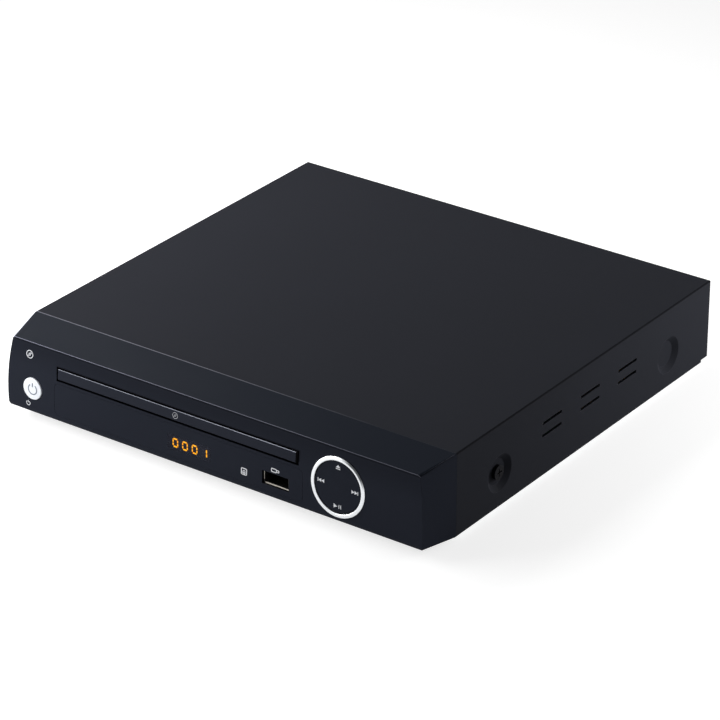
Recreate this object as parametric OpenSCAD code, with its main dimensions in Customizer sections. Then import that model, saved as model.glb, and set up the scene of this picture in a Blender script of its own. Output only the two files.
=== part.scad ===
// Compact disc player with a front-loading tray.
// X runs across the front, Y from the front to the back, Z up. The origin lies under the middle of
// the player, on the surface that its feet stand on. All lengths are in millimetres.

/* [Case] */
// Width of the case
case_w = 225; // [215:1:250]
// Length of the sheet-steel cover, from the bezel to the rear edge
cover_len = 201; // [200:1:225]
// Height of the case, without its feet
case_h = 39; // [38:0.5:46]
// Thickness of the sheet steel
sheet = 0.8; // [0.6:0.1:1.0]
// Outer radius of the cover's folds
fold_r = 0.6; // [0.5:0.1:2.5]
// Width of the cover's in-turned flange round the rear panel
flange_w = 5; // [4:0.5:7]
// Height of the rubber feet
foot_h = 3; // [2:0.5:6]
// Diameter of the rubber feet
foot_d = 14; // [10:1:20]
// Distance from the cover's sides to the middle of a foot
foot_inset = 17; // [14:1:30]

/* [Side panels] */
// Diameter of the pressed screw dimples
dimple_d = 18; // [14:0.5:18]
// Depth of the pressed screw dimples
dimple_depth = 2; // [1.5:0.1:2.5]
// Height of the dimples above the case bottom
dimple_z = 15.8; // [13:0.1:18]
// Distance of the front dimple from the bezel
dimple_front = 32; // [26:1:40]
// Distance of the rear dimple from the bezel
dimple_rear = 166; // [155:1:172]
// Number of groups of vent slits on each side
slit_groups = 3; // [1:1:4]
// Length of a vent slit
slit_len = 15; // [8:1:20]
// Height of a vent slit
slit_h = 1.5; // [0.8:0.1:2]
// Distance between groups of slits
slit_pitch = 30; // [24:1:32]
// Distance between the two slits of a group
slit_gap = 5.8; // [4:0.1:8]

/* [Bezel] */
// Depth of the bezel in front of the cover
bezel_len = 22; // [21.5:0.5:26]
// Wall thickness of the bezel
bezel_wall = 2.2; // [1.8:0.1:2.6]
// Fall of the sloping top from the cover to the crease
brow_drop = 2.8; // [1:0.1:4]
// Rise of the underside from the cover to the front
chin_rise = 2.2; // [1:0.1:3]
// Amount by which the front is narrower than the case, on each side
side_taper = 1.4; // [0.5:0.1:3]
// Radius of the gently curved front face, seen from the side
face_r = 250; // [200:10:500]
// Height of the foremost line of the front face above the case bottom
nose_z = 5; // [4:0.5:8]
// Radius of the bowed ends of the front face, seen from the front
bow_r = 121; // [100:1:300]

/* [Tray] */
// Distance from the tray's rails to the ends of its opening
slot_side = 0.95; // [0.45:0.05:2.45]
// Height of the tray opening
slot_h = 6.8; // [6.6:0.1:7.4]
// Sideways place of the tray's middle
slot_x = -17.7; // [-24:0.1:-14]
// Distance of the middle of the tray opening below the top of the case
slot_drop = 13.6; // [13:0.1:14]
// Gap between the tray door and its opening
door_gap = 0.7; // [0.4:0.1:1]
// Travel of the tray
tray_travel = 130; // [110:1:132]
// Diameter of a full-size disc
disc_d = 120; // [118:0.5:120]
// Diameter of the tray's well for small discs
small_well_d = 81; // [76:1:84]

/* [Display window] */
// Reach of the display window past the left end of the tray opening
window_left = 1.2; // [-13.2:0.1:2.8]
// Reach of the display window past the right end of the tray opening
window_right = 2.2; // [-1.8:0.1:3.2]
// Lower edge of the window above the case bottom
window_z0 = 5.5; // [5:0.1:8]
// Distance of the window below the tray opening
window_under = 1.2; // [1:0.1:4]
// Sideways place of the first digit's middle
digit_x = -18.8; // [-30:0.1:-10]
// Height of the digits
digit_h = 4.2; // [3:0.1:6]

/* [USB socket] */
// Sideways place of the USB socket
usb_x = 35.9; // [33:0.1:40]
// Height of the USB socket above the case bottom
usb_z = 11.2; // [10:0.1:13]

/* [Controls] */
// Place of the power button between the window, at 0, and the side of the case, at 1
power_share = 0.445; // [0.34:0.001:0.52]
// Height of the power button above the case bottom
power_z = 14.4; // [12:0.1:18]
// Diameter of the power button
power_d = 10.3; // [8:0.1:12]
// Travel of the power button
power_travel = 0.8; // [0.5:0.1:1]
// Distance of the control pad's middle from the tray opening
pad_right = 20.2; // [18.7:0.1:32.2]
// Distance of the control pad's middle below half the height of the case
pad_low = 0.9; // [-0.5:0.1:1.5]
// Outer diameter of the silver ring
ring_d = 27.5; // [26:0.5:29]
// Width of the silver ring
ring_w = 1.8; // [1.6:0.1:2.2]
// Tilt of the control pad to each side, in degrees
pad_tilt = 2; // [1:0.5:2]

/* [Rear connections] */
// Distance of the first audio and video jack from the left side of the case
jack_left = 28.5; // [24.5:1:42.5]
// Distance between two jacks
jack_pitch = 14; // [13:0.5:16]
// Number of jacks
jack_count = 4; // [2:1:4]
// Height of the jacks above the case bottom
jack_z = 17; // [15:0.5:20]
// Length of a jack's barrel behind the rear panel
jack_len = 8.6; // [8:0.1:10]
// Sideways place of the HDMI socket
hdmi_x = -6; // [-14:1:10]
// Distance of the mains inlet from the right side of the case
inlet_right = 26.5; // [22.5:1:32.5]
// Height of the mains inlet above the case bottom
inlet_z = 19; // [17:0.5:24]

/* [Hidden] */
$fn = 48;

// Clearances
fit = 0.3;  // between fixed pieces that must go together by hand
turn_gap = 0.05;  // round a turning pin or shaft, on the radius
slide_gap = 0.3;  // beside a sliding piece
tiny = 0.01;

// Places that follow the disc, the tray and the case
disc_clear = 0.75;  // between a disc and its well, on the radius
tray_half = disc_d / 2 + disc_clear + 1.6; // half the tray's width, without its rails
rail_w = 2.2;
slot_w = 2 * (tray_half + rail_w + slot_side);
slot_x0 = slot_x - slot_w / 2;
slot_x1 = slot_x + slot_w / 2;
slot_z = case_h - slot_drop;
slot_lo = slot_z - slot_h / 2;
slot_hi = slot_z + slot_h / 2;
window_x0 = slot_x0 - window_left;
window_x1 = slot_x1 + window_right;
window_z1 = slot_lo - window_under;
power_x = window_x0 - power_share * (case_w / 2 + window_x0);
pad_x = slot_x1 + pad_right;
pad_z = case_h / 2 - pad_low;
jack_x = jack_left - case_w / 2;
inlet_x = case_w / 2 - inlet_right;

// Frame: the bezel meets the cover at y_joint, and the case bottom is at z_case.
panel_recess = sheet;  // the rear panel lies in front of the cover's flange
jack_reach = jack_len - panel_recess;  // what the barrels add behind the cover
face_slope = atan((pad_z - nose_z) / face_r);  // lean of the front face at the control pad
ring_rise = 0.5;  // height of the silver ring's inner rim above the face
ring_round = 0.4;
front_reach = ring_rise + (ring_d / 2 - ring_w + ring_round) * sin(face_slope) - face_y(pad_z);
y_joint = (front_reach - cover_len - jack_reach) / 2;
z_case = foot_h;
inner_x = case_w / 2 - sheet;  // inside of the cover's sides
inner_top = case_h - sheet;  // inside of the cover's top, above the case bottom
rear = cover_len - panel_recess;  // rear face of the rear panel, from the joint
wall_x = case_w / 2 - sheet - dimple_depth;  // outer face of the chassis sides, where the dimples seat
floor_z = sheet;  // top of the chassis floor
step_z = 4;  // top of the step in the chassis sides
flange_h = 9;  // height of the chassis's front and side flanges

// Bezel
crease_z = case_h - brow_drop;
edge_r = 0.4;  // radius of the crisp edges round the front face
chin_r = 2;  // radius under the front face
lip_len = 3;  // tongue of the bezel inside the cover
lip_t = 1.5;
slot_lip = 1.2;  // frame round the tray opening, inside the bezel
slot_lip_len = 5;
tab_x = [12 - wall_x, 0, wall_x - 17.7];  // places of the bezel's floor tabs
tab_w = 12;

// Power button: a hollow cap
cap_t = 2.2;
cap_wall = 1.3;
cap_len = 5;
collar_w = 0.8;
collar_t = 0.8;
guide_gap = 0.25;  // round the cap, on the radius
guide_wall = 2.2;

// Front board
board_t = 1.6;
panel_y = -12.2;  // front face of the control board, from the joint
panel_x0 = 5.5 - case_w / 2;
panel_x1 = case_w / 2 - 10.5;
low_board_top = slot_lo - slot_lip - 0.6;

// Tray, in heights above the ground
door_h = slot_h - 2 * door_gap;
door_w = slot_w - 2 * door_gap;
door_t = 2.6;
tray_top = z_case + slot_z + door_h / 2;
tray_low = z_case + slot_z - door_h / 2;
tray_under = tray_low + 1.6;  // underside of the tray's plate, between its skirts
well_depth = 2.2;
small_well_depth = 0.6;
disc_y = 51;  // middle of the disc, from the joint
tray_end = rear - 40.2;  // rear end of the tray, from the joint
rail_h = 2;
window_half = 18;  // half the width of the tray's pickup window

// Loader
frame_in = tray_half + rail_w + slide_gap; // inner face of the loader's side walls
frame_t = 3.2;
frame_out = frame_in + frame_t;
frame_y0 = 3;
frame_y1 = tray_end + 8;
frame_foot = z_case + 2;  // underside of the side walls
frame_top = tray_top;
deck_top = tray_low - 5.5;
deck_t = 1.6;
deck_low = deck_top - deck_t;
bridge_z = tray_top + 4.1;  // underside of the clamp bridge
bridge_half = 17;  // half the width of the bridge, front to back
tower_x = frame_out + 0.6;  // middle of the towers that carry the clamp bridge
tower_r = 3;
tower_y = [disc_y - bridge_half + 4, disc_y + bridge_half - 4];
lug_x = frame_out + 4;  // middle of a mounting lug
lug_y = [12, frame_y1 - 10];
lug_z = z_case + 6;  // underside of a mounting lug
lug_t = 3;

// Gears
pressure = 25;  // pressure angle
lash = 0.12;  // thinning of each tooth at the pitch line
rack_m = 1;  // module of the tray's rack
rack_pinion_teeth = 24;
train_m = 0.65;  // module of the reduction
drive_teeth = 40;
reduction_teeth = 12;
rack_x = 50;  // pitch line of the tray's rack, from the tray's middle
drive_pos = [rack_x - rack_m * rack_pinion_teeth / 2, 20];
train_centres = train_m * (drive_teeth + reduction_teeth) / 2;
train_angle = 200;  // direction from the drive gear to the pulley gear
pulley_pos = drive_pos + train_centres * [cos(train_angle), sin(train_angle)];
pulley_r = 10.5;
motor_pulley_r = 2.5;
motor_pos = [-25, 15.3];
motor_r = 12.2;
motor_h = deck_low - z_case - floor_z - 2.5;
belt_t = 1.2;
belt_z = deck_top + 0.4;  // underside of the pulley level
belt_level = 1.8;
train_z = belt_z + belt_level + 0.2;  // underside of the reduction level
train_level = 1.8;
pinion_z = train_z + train_level + 0.1;  // underside of the rack level
pinion_level = tray_under - 0.3 - pinion_z;
post_r = 1.5;

// Traverse, with its pivot at the rear of the loader
plate_z = deck_top + 1.2;  // underside of the traverse plate
pivot_y = frame_y1 - 18;
pivot_z = plate_z - 5.4;
pivot_r = 1.6;
drop_angle = 3.6;  // fall of the traverse when the tray opens
plate_t = 1.2;
plate_half = 46;
bearing_x = plate_half + 0.4;  // inner face of the pivot bearings
bearing_t = 4;
plate_y0 = 36;
plate_y1 = pivot_y - 4;
pin_x = 30;  // the two lifting pins
pin_r = 1.5;
pin_y0 = 29.8;
pin_z = plate_z - 6;
cam_travel = 20;
cam_y0 = 29.5;
cam_t = 3;
cam_z0 = z_case + 2;
cam_z1 = deck_low - 0.4;
cam_x0 = -56;
cam_x1 = 42;
cam_slot_gap = 0.3;
pin_drop = (pivot_y - (cam_y0 + cam_t / 2)) * sin(drop_angle);

// Disc drive
seat_z = tray_top - well_depth + 0.9;  // lower face of a clamped disc
hub_r = 7.4;
hub_h = 1.6;
table_r = 14.5;
shaft_r = 1;
spindle_r = 12.5;
spindle_h = 6;
rod_x = 22;
rod_r = 1.5;
rod_z = plate_z - 3.9;
rod_y0 = disc_y + 9.5;
rod_y1 = plate_y1 - 10.5;
lens_y = disc_y + 24;
lens_r = 3.3;
pickup_back = 20;  // from the lens to the rear end of the pickup
rod_bracket = 4;  // length of the brackets that hold the rods
sled_travel = rod_y1 - 6.5 - lens_y - pickup_back;
sled_m = 0.5;
sled_rack_teeth = 20;
sled_wheel_teeth = 32;
sled_pinion_teeth = 12;
sled_rack_x = 33;
sled_gear_pos = [sled_rack_x + sled_m * sled_rack_teeth / 2, disc_y + 46];
sled_centres = sled_m * (sled_wheel_teeth + sled_pinion_teeth) / 2;
sled_motor_pos = sled_gear_pos + [0, sled_centres];
sled_rack_z = plate_z + plate_t + 0.3;
sled_rack_t = 1.2;

// Circuit boards behind the loader and beside it
side_x0 = slot_x + lug_x + 5.65;
side_x1 = wall_x - 2.7;
power_y = [rear - 96.2, rear - 6.2];
main_y = [8, power_y[0] - 6];
av_x = [9.7 - wall_x, 50];
av_y = [rear - 26.2, rear - 4.2];
board_z = z_case + 6;  // underside of the circuit boards
board_top = board_z + board_t;
stand_r = 3;
screw_r = 1.5;
rear_tab = [12, 9];  // tabs of the cover's flange round its rear screws
tight_r = 0.1;  // least radius inside a fold
dimple_floor_r = dimple_d * 0.335;
split_x = inlet_x - 19;  // where the rear panel ends and the inlet's panel starts

// Control pad, in the frame of the leaning face
ring_in = ring_d / 2 - ring_w;
ring_seat = 0.6;  // flat seat of the ring below the face
sleeve_t = 1.2;
sleeve_len = 2.2;
pad_r = ring_in - 0.35;
pad_t = 1.8;
gimbal_depth = 3.9;  // from the face to the pad's tilting axes
gimbal_out = pad_r - 0.1;
gimbal_w = 2;
gimbal_t = 2;
gimbal_pin_r = 0.7;
ear_t = 1.5;  // thickness of the pad's two ears
ear_w = 3.2;
socket_in = ring_in + 0.1;  // inside of the bezel's tube round the gimbal
socket_out = ring_d / 2 + 1;
socket_len = 6.4;  // from the face to the rear end of both tubes
key_reach = 5;  // from the pad's middle to each key switch
key_body = 4.5;
key_body_h = 3;
key_h = 5;  // from the board to the top of a key's stem
key_stem_r = 1.2;
key_gap = key_reach * sin(pad_tilt) + 0.075; // a plunger meets its key near full tilt

// Jacks, USB and HDMI sockets
jack_r = 4.15;
jack_in = 3.6;
jack_root = 0.4;  // from the panel to the full size of the barrel
jack_neck = jack_r - 0.3;
usb_in = [12.5, 5.1];
usb_wall = 0.35;
usb_play = [1.5, 1.1];  // width and height that the window's hole adds
usb_len = 14;
usb_lead = 0.9;  // the shell's mouth lies this far behind the face
hdmi_in = [14, 4.6];
hdmi_wall = 0.4;
hdmi_len = 11;

// Mains inlet
inlet_in = [17, 9];
inlet_wall = 2.2;
inlet_depth = 12;
inlet_pin_gap = 8.6;
inlet_pin_r = 1.2;

// Vent slots
floor_vent = [3, 20];
rear_vent = [2, 11];

// ---------- Helpers ----------

// Front face of the bezel at a height above the case bottom, from the joint.
function face_y(z) = -bezel_len + pow(z - nose_z, 2) / (2 * face_r);
// How far a rounded corner of radius r cuts in at height z between lo and hi.
function corner(z, lo, hi, r_lo, r_hi) =
    z < lo + r_lo ? r_lo - sqrt(max(0, r_lo * r_lo - pow(lo + r_lo - z, 2))) :
    z > hi - r_hi ? r_hi - sqrt(max(0, r_hi * r_hi - pow(z - hi + r_hi, 2))) : 0;
// Half the width of the front face at a height above the case bottom.
function face_x(z) = case_w / 2 - side_taper - pow(z - 10, 2) / (2 * bow_r);

function involute(a) = tan(a) - a * PI / 180;
// Half the angle of a gear tooth at radius r, in degrees.
function tooth_half(r, teeth, m) =
    let (pitch = m * teeth / 2, base = pitch * cos(pressure))
    ((PI * m / 2 - lash) / (2 * pitch) + involute(pressure)
        - involute(r > base ? acos(base / r) : 0)) * 180 / PI;

module block(low, high) {
    translate(low) cube(high - low);
}

module along_x(r, x0, x1) {
    translate([x0, 0, 0]) rotate([0, 90, 0]) cylinder(r = r, h = x1 - x0);
}

module along_y(r, y0, y1) {
    translate([0, y0, 0]) rotate([-90, 0, 0]) cylinder(r = r, h = y1 - y0);
}

module along_z(r, z0, z1) {
    translate([0, 0, z0]) cylinder(r = r, h = z1 - z0);
}

module tube_z(r_out, r_in, z0, z1) {
    difference() {
        along_z(r_out, z0, z1);
        along_z(r_in, z0 - 1, z1 + 1);
    }
}

// Rectangle with rounded corners, from its lower left corner.
module round_rect(size, r) {
    translate([r, 0]) square([size[0] - 2 * r, size[1]]);
    translate([0, r]) square([size[0], size[1] - 2 * r]);
    for (x = [r, size[0] - r], y = [r, size[1] - r])
        translate([x, y]) circle(r);
}

// A drawing in X and Z made into a solid between two places along Y.
module wall_xz(y0, y1) {
    translate([0, y1, 0]) rotate([90, 0, 0]) linear_extrude(y1 - y0) children();
}

// A drawing in Y and Z made into a solid between two places along X.
module wall_yz(x0, x1) {
    translate([x0, 0, 0]) rotate([90, 0, 90]) linear_extrude(x1 - x0) children();
}

// Everything that is placed from the joint, with heights above the case bottom.
module in_case() {
    translate([0, y_joint, z_case]) children();
}

// Everything in the loader: from the tray's middle and the joint, with heights above the ground.
module in_loader() {
    translate([slot_x, y_joint, 0]) children();
}

module at_place(p) {
    translate([p[0], p[1], 0]) children();
}

module on_front(p) {
    translate([p[0], 0, p[1]]) children();
}

// Spur gear with involute teeth, one tooth centred on +X.
module gear_shape(teeth, m) {
    tip = m * (teeth / 2 + 0.8);
    root = m * (teeth / 2 - 1.05);
    steps = 4;
    base = max(root, m * teeth / 2 * cos(pressure));
    radii = [root, for (i = [0:steps]) base + (tip - base) * i / steps];
    polygon([
        for (t = [0:teeth - 1]) each concat(
            [for (i = [0:steps + 1]) let (a = t * 360 / teeth - tooth_half(radii[i], teeth, m))
                radii[i] * [cos(a), sin(a)]],
            [for (i = [steps + 1:-1:0]) let (a = t * 360 / teeth + tooth_half(radii[i], teeth, m))
                radii[i] * [cos(a), sin(a)]])
    ]);
}

// Straight rack along Y with teeth towards -X. Its pitch line is x = 0, and a gap is centred on y = 0.
module rack_shape(first, last, m, back) {
    half = (PI * m / 2 - lash) / 2;
    tip = 0.8 * m;
    root = 1.05 * m;
    polygon(concat(
        [for (t = [first:last]) let (y = (t + 0.5) * PI * m) each [
            [root, y - half - root * tan(pressure)], [-tip, y - half + tip * tan(pressure)],
            [-tip, y + half - tip * tan(pressure)], [root, y + half + root * tan(pressure)]
        ]],
        [[root + back, (last + 1) * PI * m], [root + back, first * PI * m]]));
}

// Screw with a pan head on +Z: the underside of its head is at z = 0. The cross is in its head.
module screw(head_r, head_h, r, len) {
    difference() {
        union() {
            along_z(r, -len, 0);
            along_z(head_r, 0, head_h);
        }
        for (a = [0, 90])
            rotate(a) block([-head_r * 0.6, -0.35, head_h * 0.4], [head_r * 0.6, 0.35, head_h + 1]);
    }
}

// ---------- Case ----------

// The cover's outside or, with inset, its inside: folded along both sides and round the rear.
module cover_form(inset) {
    r = max(fold_r - inset, tight_r);
    half = case_w / 2 - inset;
    top = case_h - inset;
    end = cover_len - inset;
    intersection() {
        wall_xz(-inset, end) {
            translate([-half, -inset]) square([2 * half, top + inset - r]);
            translate([-half + r, -inset]) square([2 * (half - r), top + inset]);
            for (s = [-1, 1])
                translate([s * (half - r), top - r]) circle(r);
        }
        translate([0, 0, -inset - 1]) linear_extrude(case_h + 2) {
            translate([-half, -inset]) square([2 * half, end + inset - r]);
            translate([-half + r, -inset]) square([2 * (half - r), end + inset]);
            for (s = [-1, 1])
                translate([s * (half - r), end - r]) circle(r);
        }
        wall_yz(-half - 1, half + 1) {
            translate([-inset, -inset - 1]) square([end + inset, top + inset + 1 - r]);
            translate([-inset, -inset - 1]) square([end + inset - r, top + inset + 1]);
            translate([end - r, top - r]) circle(r);
        }
    }
}

// One side's dimple, seen as a turned shape about the screw's axis, with +Z out of the case.
module dimple_back() {
    rotate_extrude() polygon([
        [0, -dimple_depth - sheet], [dimple_floor_r, -dimple_depth - sheet],
        [dimple_d / 2, -sheet], [dimple_d / 2, -tiny], [0, -tiny]
    ]);
}

module dimple_cut() {
    rotate_extrude() polygon([
        [0, -dimple_depth], [dimple_floor_r, -dimple_depth], [dimple_d / 2 - 0.2, 0],
        [dimple_d / 2 - 0.2, 1], [0, 1]
    ]);
}

// Places of the dimples on both sides, with +Z out of the case.
module at_dimples(places) {
    for (s = [-1, 1], y = places)
        translate([s * case_w / 2, y, dimple_z]) rotate([0, s * 90, 0]) children();
}

module side_slits() {
    for (s = [-1, 1], g = [0:slit_groups - 1], row = [-1, 1]) {
        y = cover_len / 2 + 1 + (g - (slit_groups - 1) / 2) * slit_pitch;
        z = dimple_z + 6.2 + row * slit_gap / 2;
        translate([s * (case_w / 2 - sheet / 2), y, z])
            cube([3 * sheet, slit_len, slit_h], center = true);
    }
}

module rear_screw_places() {
    for (x = [-60, 60])
        translate([x, cover_len, case_h - flange_w - 0.2]) rotate([-90, 0, 0]) children();
}

module top_cover() {
    notch = [5.6, 1.2];
    color([0.075, 0.08, 0.09]) in_case() difference() {
        union() {
            difference() {
                cover_form(0);
                cover_form(sheet);
            }
            at_dimples([dimple_front, dimple_rear]) dimple_back();
        }
        at_dimples([dimple_front, dimple_rear]) dimple_cut();
        at_dimples([dimple_front]) along_z(screw_r + 0.2, -dimple_depth - 2 * sheet, 0);
        side_slits();
        // The rear is open inside the flange and its tabs, down to the floor.
        difference() {
            block([-case_w / 2 + flange_w, cover_len - 3 * sheet, -1],
                  [case_w / 2 - flange_w, cover_len + 1, case_h - flange_w]);
            rear_screw_places() cube([rear_tab[0], rear_tab[1], 8 * sheet], center = true);
        }
        rear_screw_places() along_z(screw_r + 0.2, -2 * sheet, 1);
        // Relief where the rear fold ends at the floor.
        block([-case_w / 2 - 1, cover_len - notch[0], -1], [case_w / 2 + 1, cover_len + 1, notch[1]]);
    }
}

// Places of the feet, from the joint.
function foot_places() = [for (x = [-1, 1], y = [foot_inset, cover_len - foot_inset])
    [x * (case_w / 2 - foot_inset), y]];

// Places of the posts that carry the loader's lugs, and of those that carry the boards.
function lug_places() = [for (s = [-1, 1], y = lug_y) [slot_x + s * lug_x, y]];
function board_places() = let (in = 4) concat(
    [for (x = [side_x0 + in, side_x1 - in],
          y = [main_y[0] + in, main_y[1] - in, power_y[0] + in, power_y[1] - 3 * in])
        [x, y]],
    [for (x = [av_x[0] + in, av_x[1] - in]) [x, av_y[0] + in]]);

module floor_vents() {
    for (bank = [-1, 1], i = [-5:5])
        translate([i * 8, cover_len / 2 + bank * 26, -1]) linear_extrude(sheet + 2)
            translate(-floor_vent / 2) round_rect(floor_vent, floor_vent[0] / 2 - 0.1);
}

// Folded side of the chassis, in X and Z: it fills the cover's lower edge, then steps in to the dimples.
module chassis_side() {
    hem = inner_x - fit;
    polygon([
        [0, 0], [hem, 0], [hem, step_z], [wall_x, step_z], [wall_x, flange_h], [wall_x - sheet, flange_h],
        [wall_x - sheet, step_z - sheet], [hem - sheet, step_z - sheet], [hem - sheet, sheet], [0, sheet]
    ]);
}

module bottom_chassis() {
    floor_y = [1, rear - sheet];
    color([0.55, 0.56, 0.57]) in_case() difference() {
        union() {
            block([-wall_x, floor_y[0], 0], [wall_x, floor_y[1], sheet]);
            for (s = [0, 1]) mirror([s, 0, 0]) {
                wall_xz(lip_len + 1, floor_y[1]) chassis_side();
                // Tall ears that the dimples seat on.
                for (y = [dimple_front, dimple_rear])
                    block([wall_x - sheet, y - 12, flange_h - 1], [wall_x, y + 12, dimple_z + 9]);
            }
            block([-wall_x + 2, floor_y[0], 0], [wall_x - 2, floor_y[0] + sheet, flange_h]);
            for (p = lug_places()) at_place(p) along_z(stand_r, 0, lug_z - z_case);
            for (p = board_places()) at_place(p) along_z(stand_r, 0, board_z - z_case);
        }
        // The bezel's tabs pass through the front flange.
        for (x = tab_x)
            block([x - tab_w / 2 - 1, 0, sheet], [x + tab_w / 2 + 1, floor_y[0] + 2, flange_h + 1]);
        for (s = [-1, 1]) for (y = [dimple_front, dimple_rear])
            translate([s * (wall_x - sheet / 2), y, dimple_z]) rotate([0, 90, 0])
                cylinder(r = screw_r - 0.2, h = 4 * sheet, center = true);
        for (p = concat(lug_places(), board_places()))
            at_place(p) along_z(screw_r - 0.2, sheet + 0.4, 20);
        for (p = foot_places()) at_place(p) along_z(2, -1, sheet + 1);
        floor_vents();
    }
}

// A foot: a moulded cone with a stud that snaps into the floor.
module rubber_feet() {
    color([0.06, 0.06, 0.065]) in_case() for (p = foot_places()) at_place(p) {
        translate([0, 0, -foot_h]) rotate_extrude() polygon([
            [0, 0.6], [foot_d / 2 - 3.5, 0.6], [foot_d / 2 - 3.5, 0], [foot_d / 2 - 0.8, 0],
            [foot_d / 2 - 0.4, 0.4], [foot_d / 2, foot_h], [0, foot_h]
        ]);
        along_z(1.9, -tiny, sheet);
        along_z(2.8, sheet, sheet + 1.2);
    }
}

// The sheet of the rear panels between two sides.
module rear_sheet(x0, x1) {
    top = inner_top - max(fold_r - sheet, tight_r) - turn_gap;
    block([x0, rear - sheet, floor_z - sheet], [x1, rear, top]);
}

// The inlet has a panel of its own, so that mains parts can be fitted apart from the rest.
module inlet_panel() {
    hole = inlet_in + 2 * [inlet_wall + 0.1, inlet_wall + 0.1];
    color([0.10, 0.105, 0.11]) in_case() difference() {
        rear_sheet(split_x, wall_x);
        wall_xz(rear - 2, rear + 1) translate([inlet_x, inlet_z] - hole / 2) round_rect(hole, 2);
    }
}

module rear_panel() {
    color([0.10, 0.105, 0.11]) in_case() difference() {
        union() {
            rear_sheet(-wall_x, split_x - 0.1);
            // Foot of the panel, folded forward on to the floor.
            block([-wall_x + 12, rear - 9, floor_z],
                  [side_x0 - 6, rear - sheet, floor_z + sheet]);
        }
        at_jacks() along_y(jack_r + 0.45, rear - 2, rear + 1);
        wall_xz(rear - 2, rear + 1)
            translate([hdmi_x - hdmi_in[0] / 2 - 1, jack_z - hdmi_in[1] / 2 - 1])
                round_rect(hdmi_in + [2, 2], 1);
        for (i = [0:8]) wall_xz(rear - 2, rear + 1)
            translate([18 + i * 5, jack_z + 1]) round_rect(rear_vent, 0.9);
        rear_screw_places() along_z(screw_r - 0.2, -3 * sheet, 1);
    }
}

module cover_screws() {
    color([0.12, 0.12, 0.13]) in_case() {
        at_dimples([dimple_front]) translate([0, 0, -dimple_depth]) screw(3.3, 1.7, screw_r - 0.25, 5);
        rear_screw_places() screw(2.9, 1.5, screw_r - 0.25, 5);
    }
}

// ---------- Bezel ----------

// Solid outline of the bezel, or of its hollow when inset: the cover's end lofted to the front face.
module bezel_form(inset) {
    lo = chin_rise + inset;
    hi = crease_z - inset;
    back = inset > 0 ? 1 : 0;
    levels = [lo, lo + 0.3, lo + 0.9, lo + 2, for (z = [lo + 4.5:3.2:hi - 5]) z,
              hi - 2.4, hi - 1, hi - 0.3, hi];
    hull() {
        wall_xz(-0.6, back) translate([-case_w / 2 + inset, inset]) {
            square([case_w - 2 * inset, case_h - 2 * inset - fold_r]);
            translate([fold_r, 0]) square([case_w - 2 * (inset + fold_r), case_h - 2 * inset]);
            for (x = [fold_r, case_w - 2 * inset - fold_r])
                translate([x, case_h - 2 * inset - fold_r]) circle(fold_r, $fn = 24);
        }
        for (z = levels) {
            half = face_x(z) - corner(z, lo, hi, 2.5, 1.2) - inset;
            y = face_y(z) + corner(z, lo, hi, chin_r, tiny) + inset;
            lift = z < lo + edge_r ? edge_r : z > hi - edge_r ? -edge_r : 0;
            translate([0, y + edge_r, z + lift]) rotate([0, 90, 0])
                cylinder(r = edge_r, h = 2 * half, center = true, $fn = 12);
        }
    }
}

// A layer of the curved front face between two depths behind it, for pieces that lie flush in it.
module face_layer(front, back, x0, x1) {
    levels = [for (z = [chin_rise:2:crease_z]) z];
    wall_yz(x0, x1) polygon(concat(
        [for (z = levels) [face_y(z) + front, z]],
        [for (i = [len(levels) - 1:-1:0]) [face_y(levels[i]) + back, levels[i]]]));
}

// The tilted frame of the control pad: +Z out of the face, +Y up.
module at_pad() {
    translate([pad_x, face_y(pad_z), pad_z]) rotate([90 - face_slope, 0, 0]) children();
}

module at_power() {
    slope = atan((power_z - nose_z) / face_r);
    translate([power_x, face_y(power_z), power_z]) rotate([90 - slope, 0, 0]) children();
}

module window_outline(grow) {
    translate([window_x0 - grow, window_z0 - grow])
        round_rect([window_x1 - window_x0 + 2 * grow, window_z1 - window_z0 + 2 * grow], 2.5 + grow);
}

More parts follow.
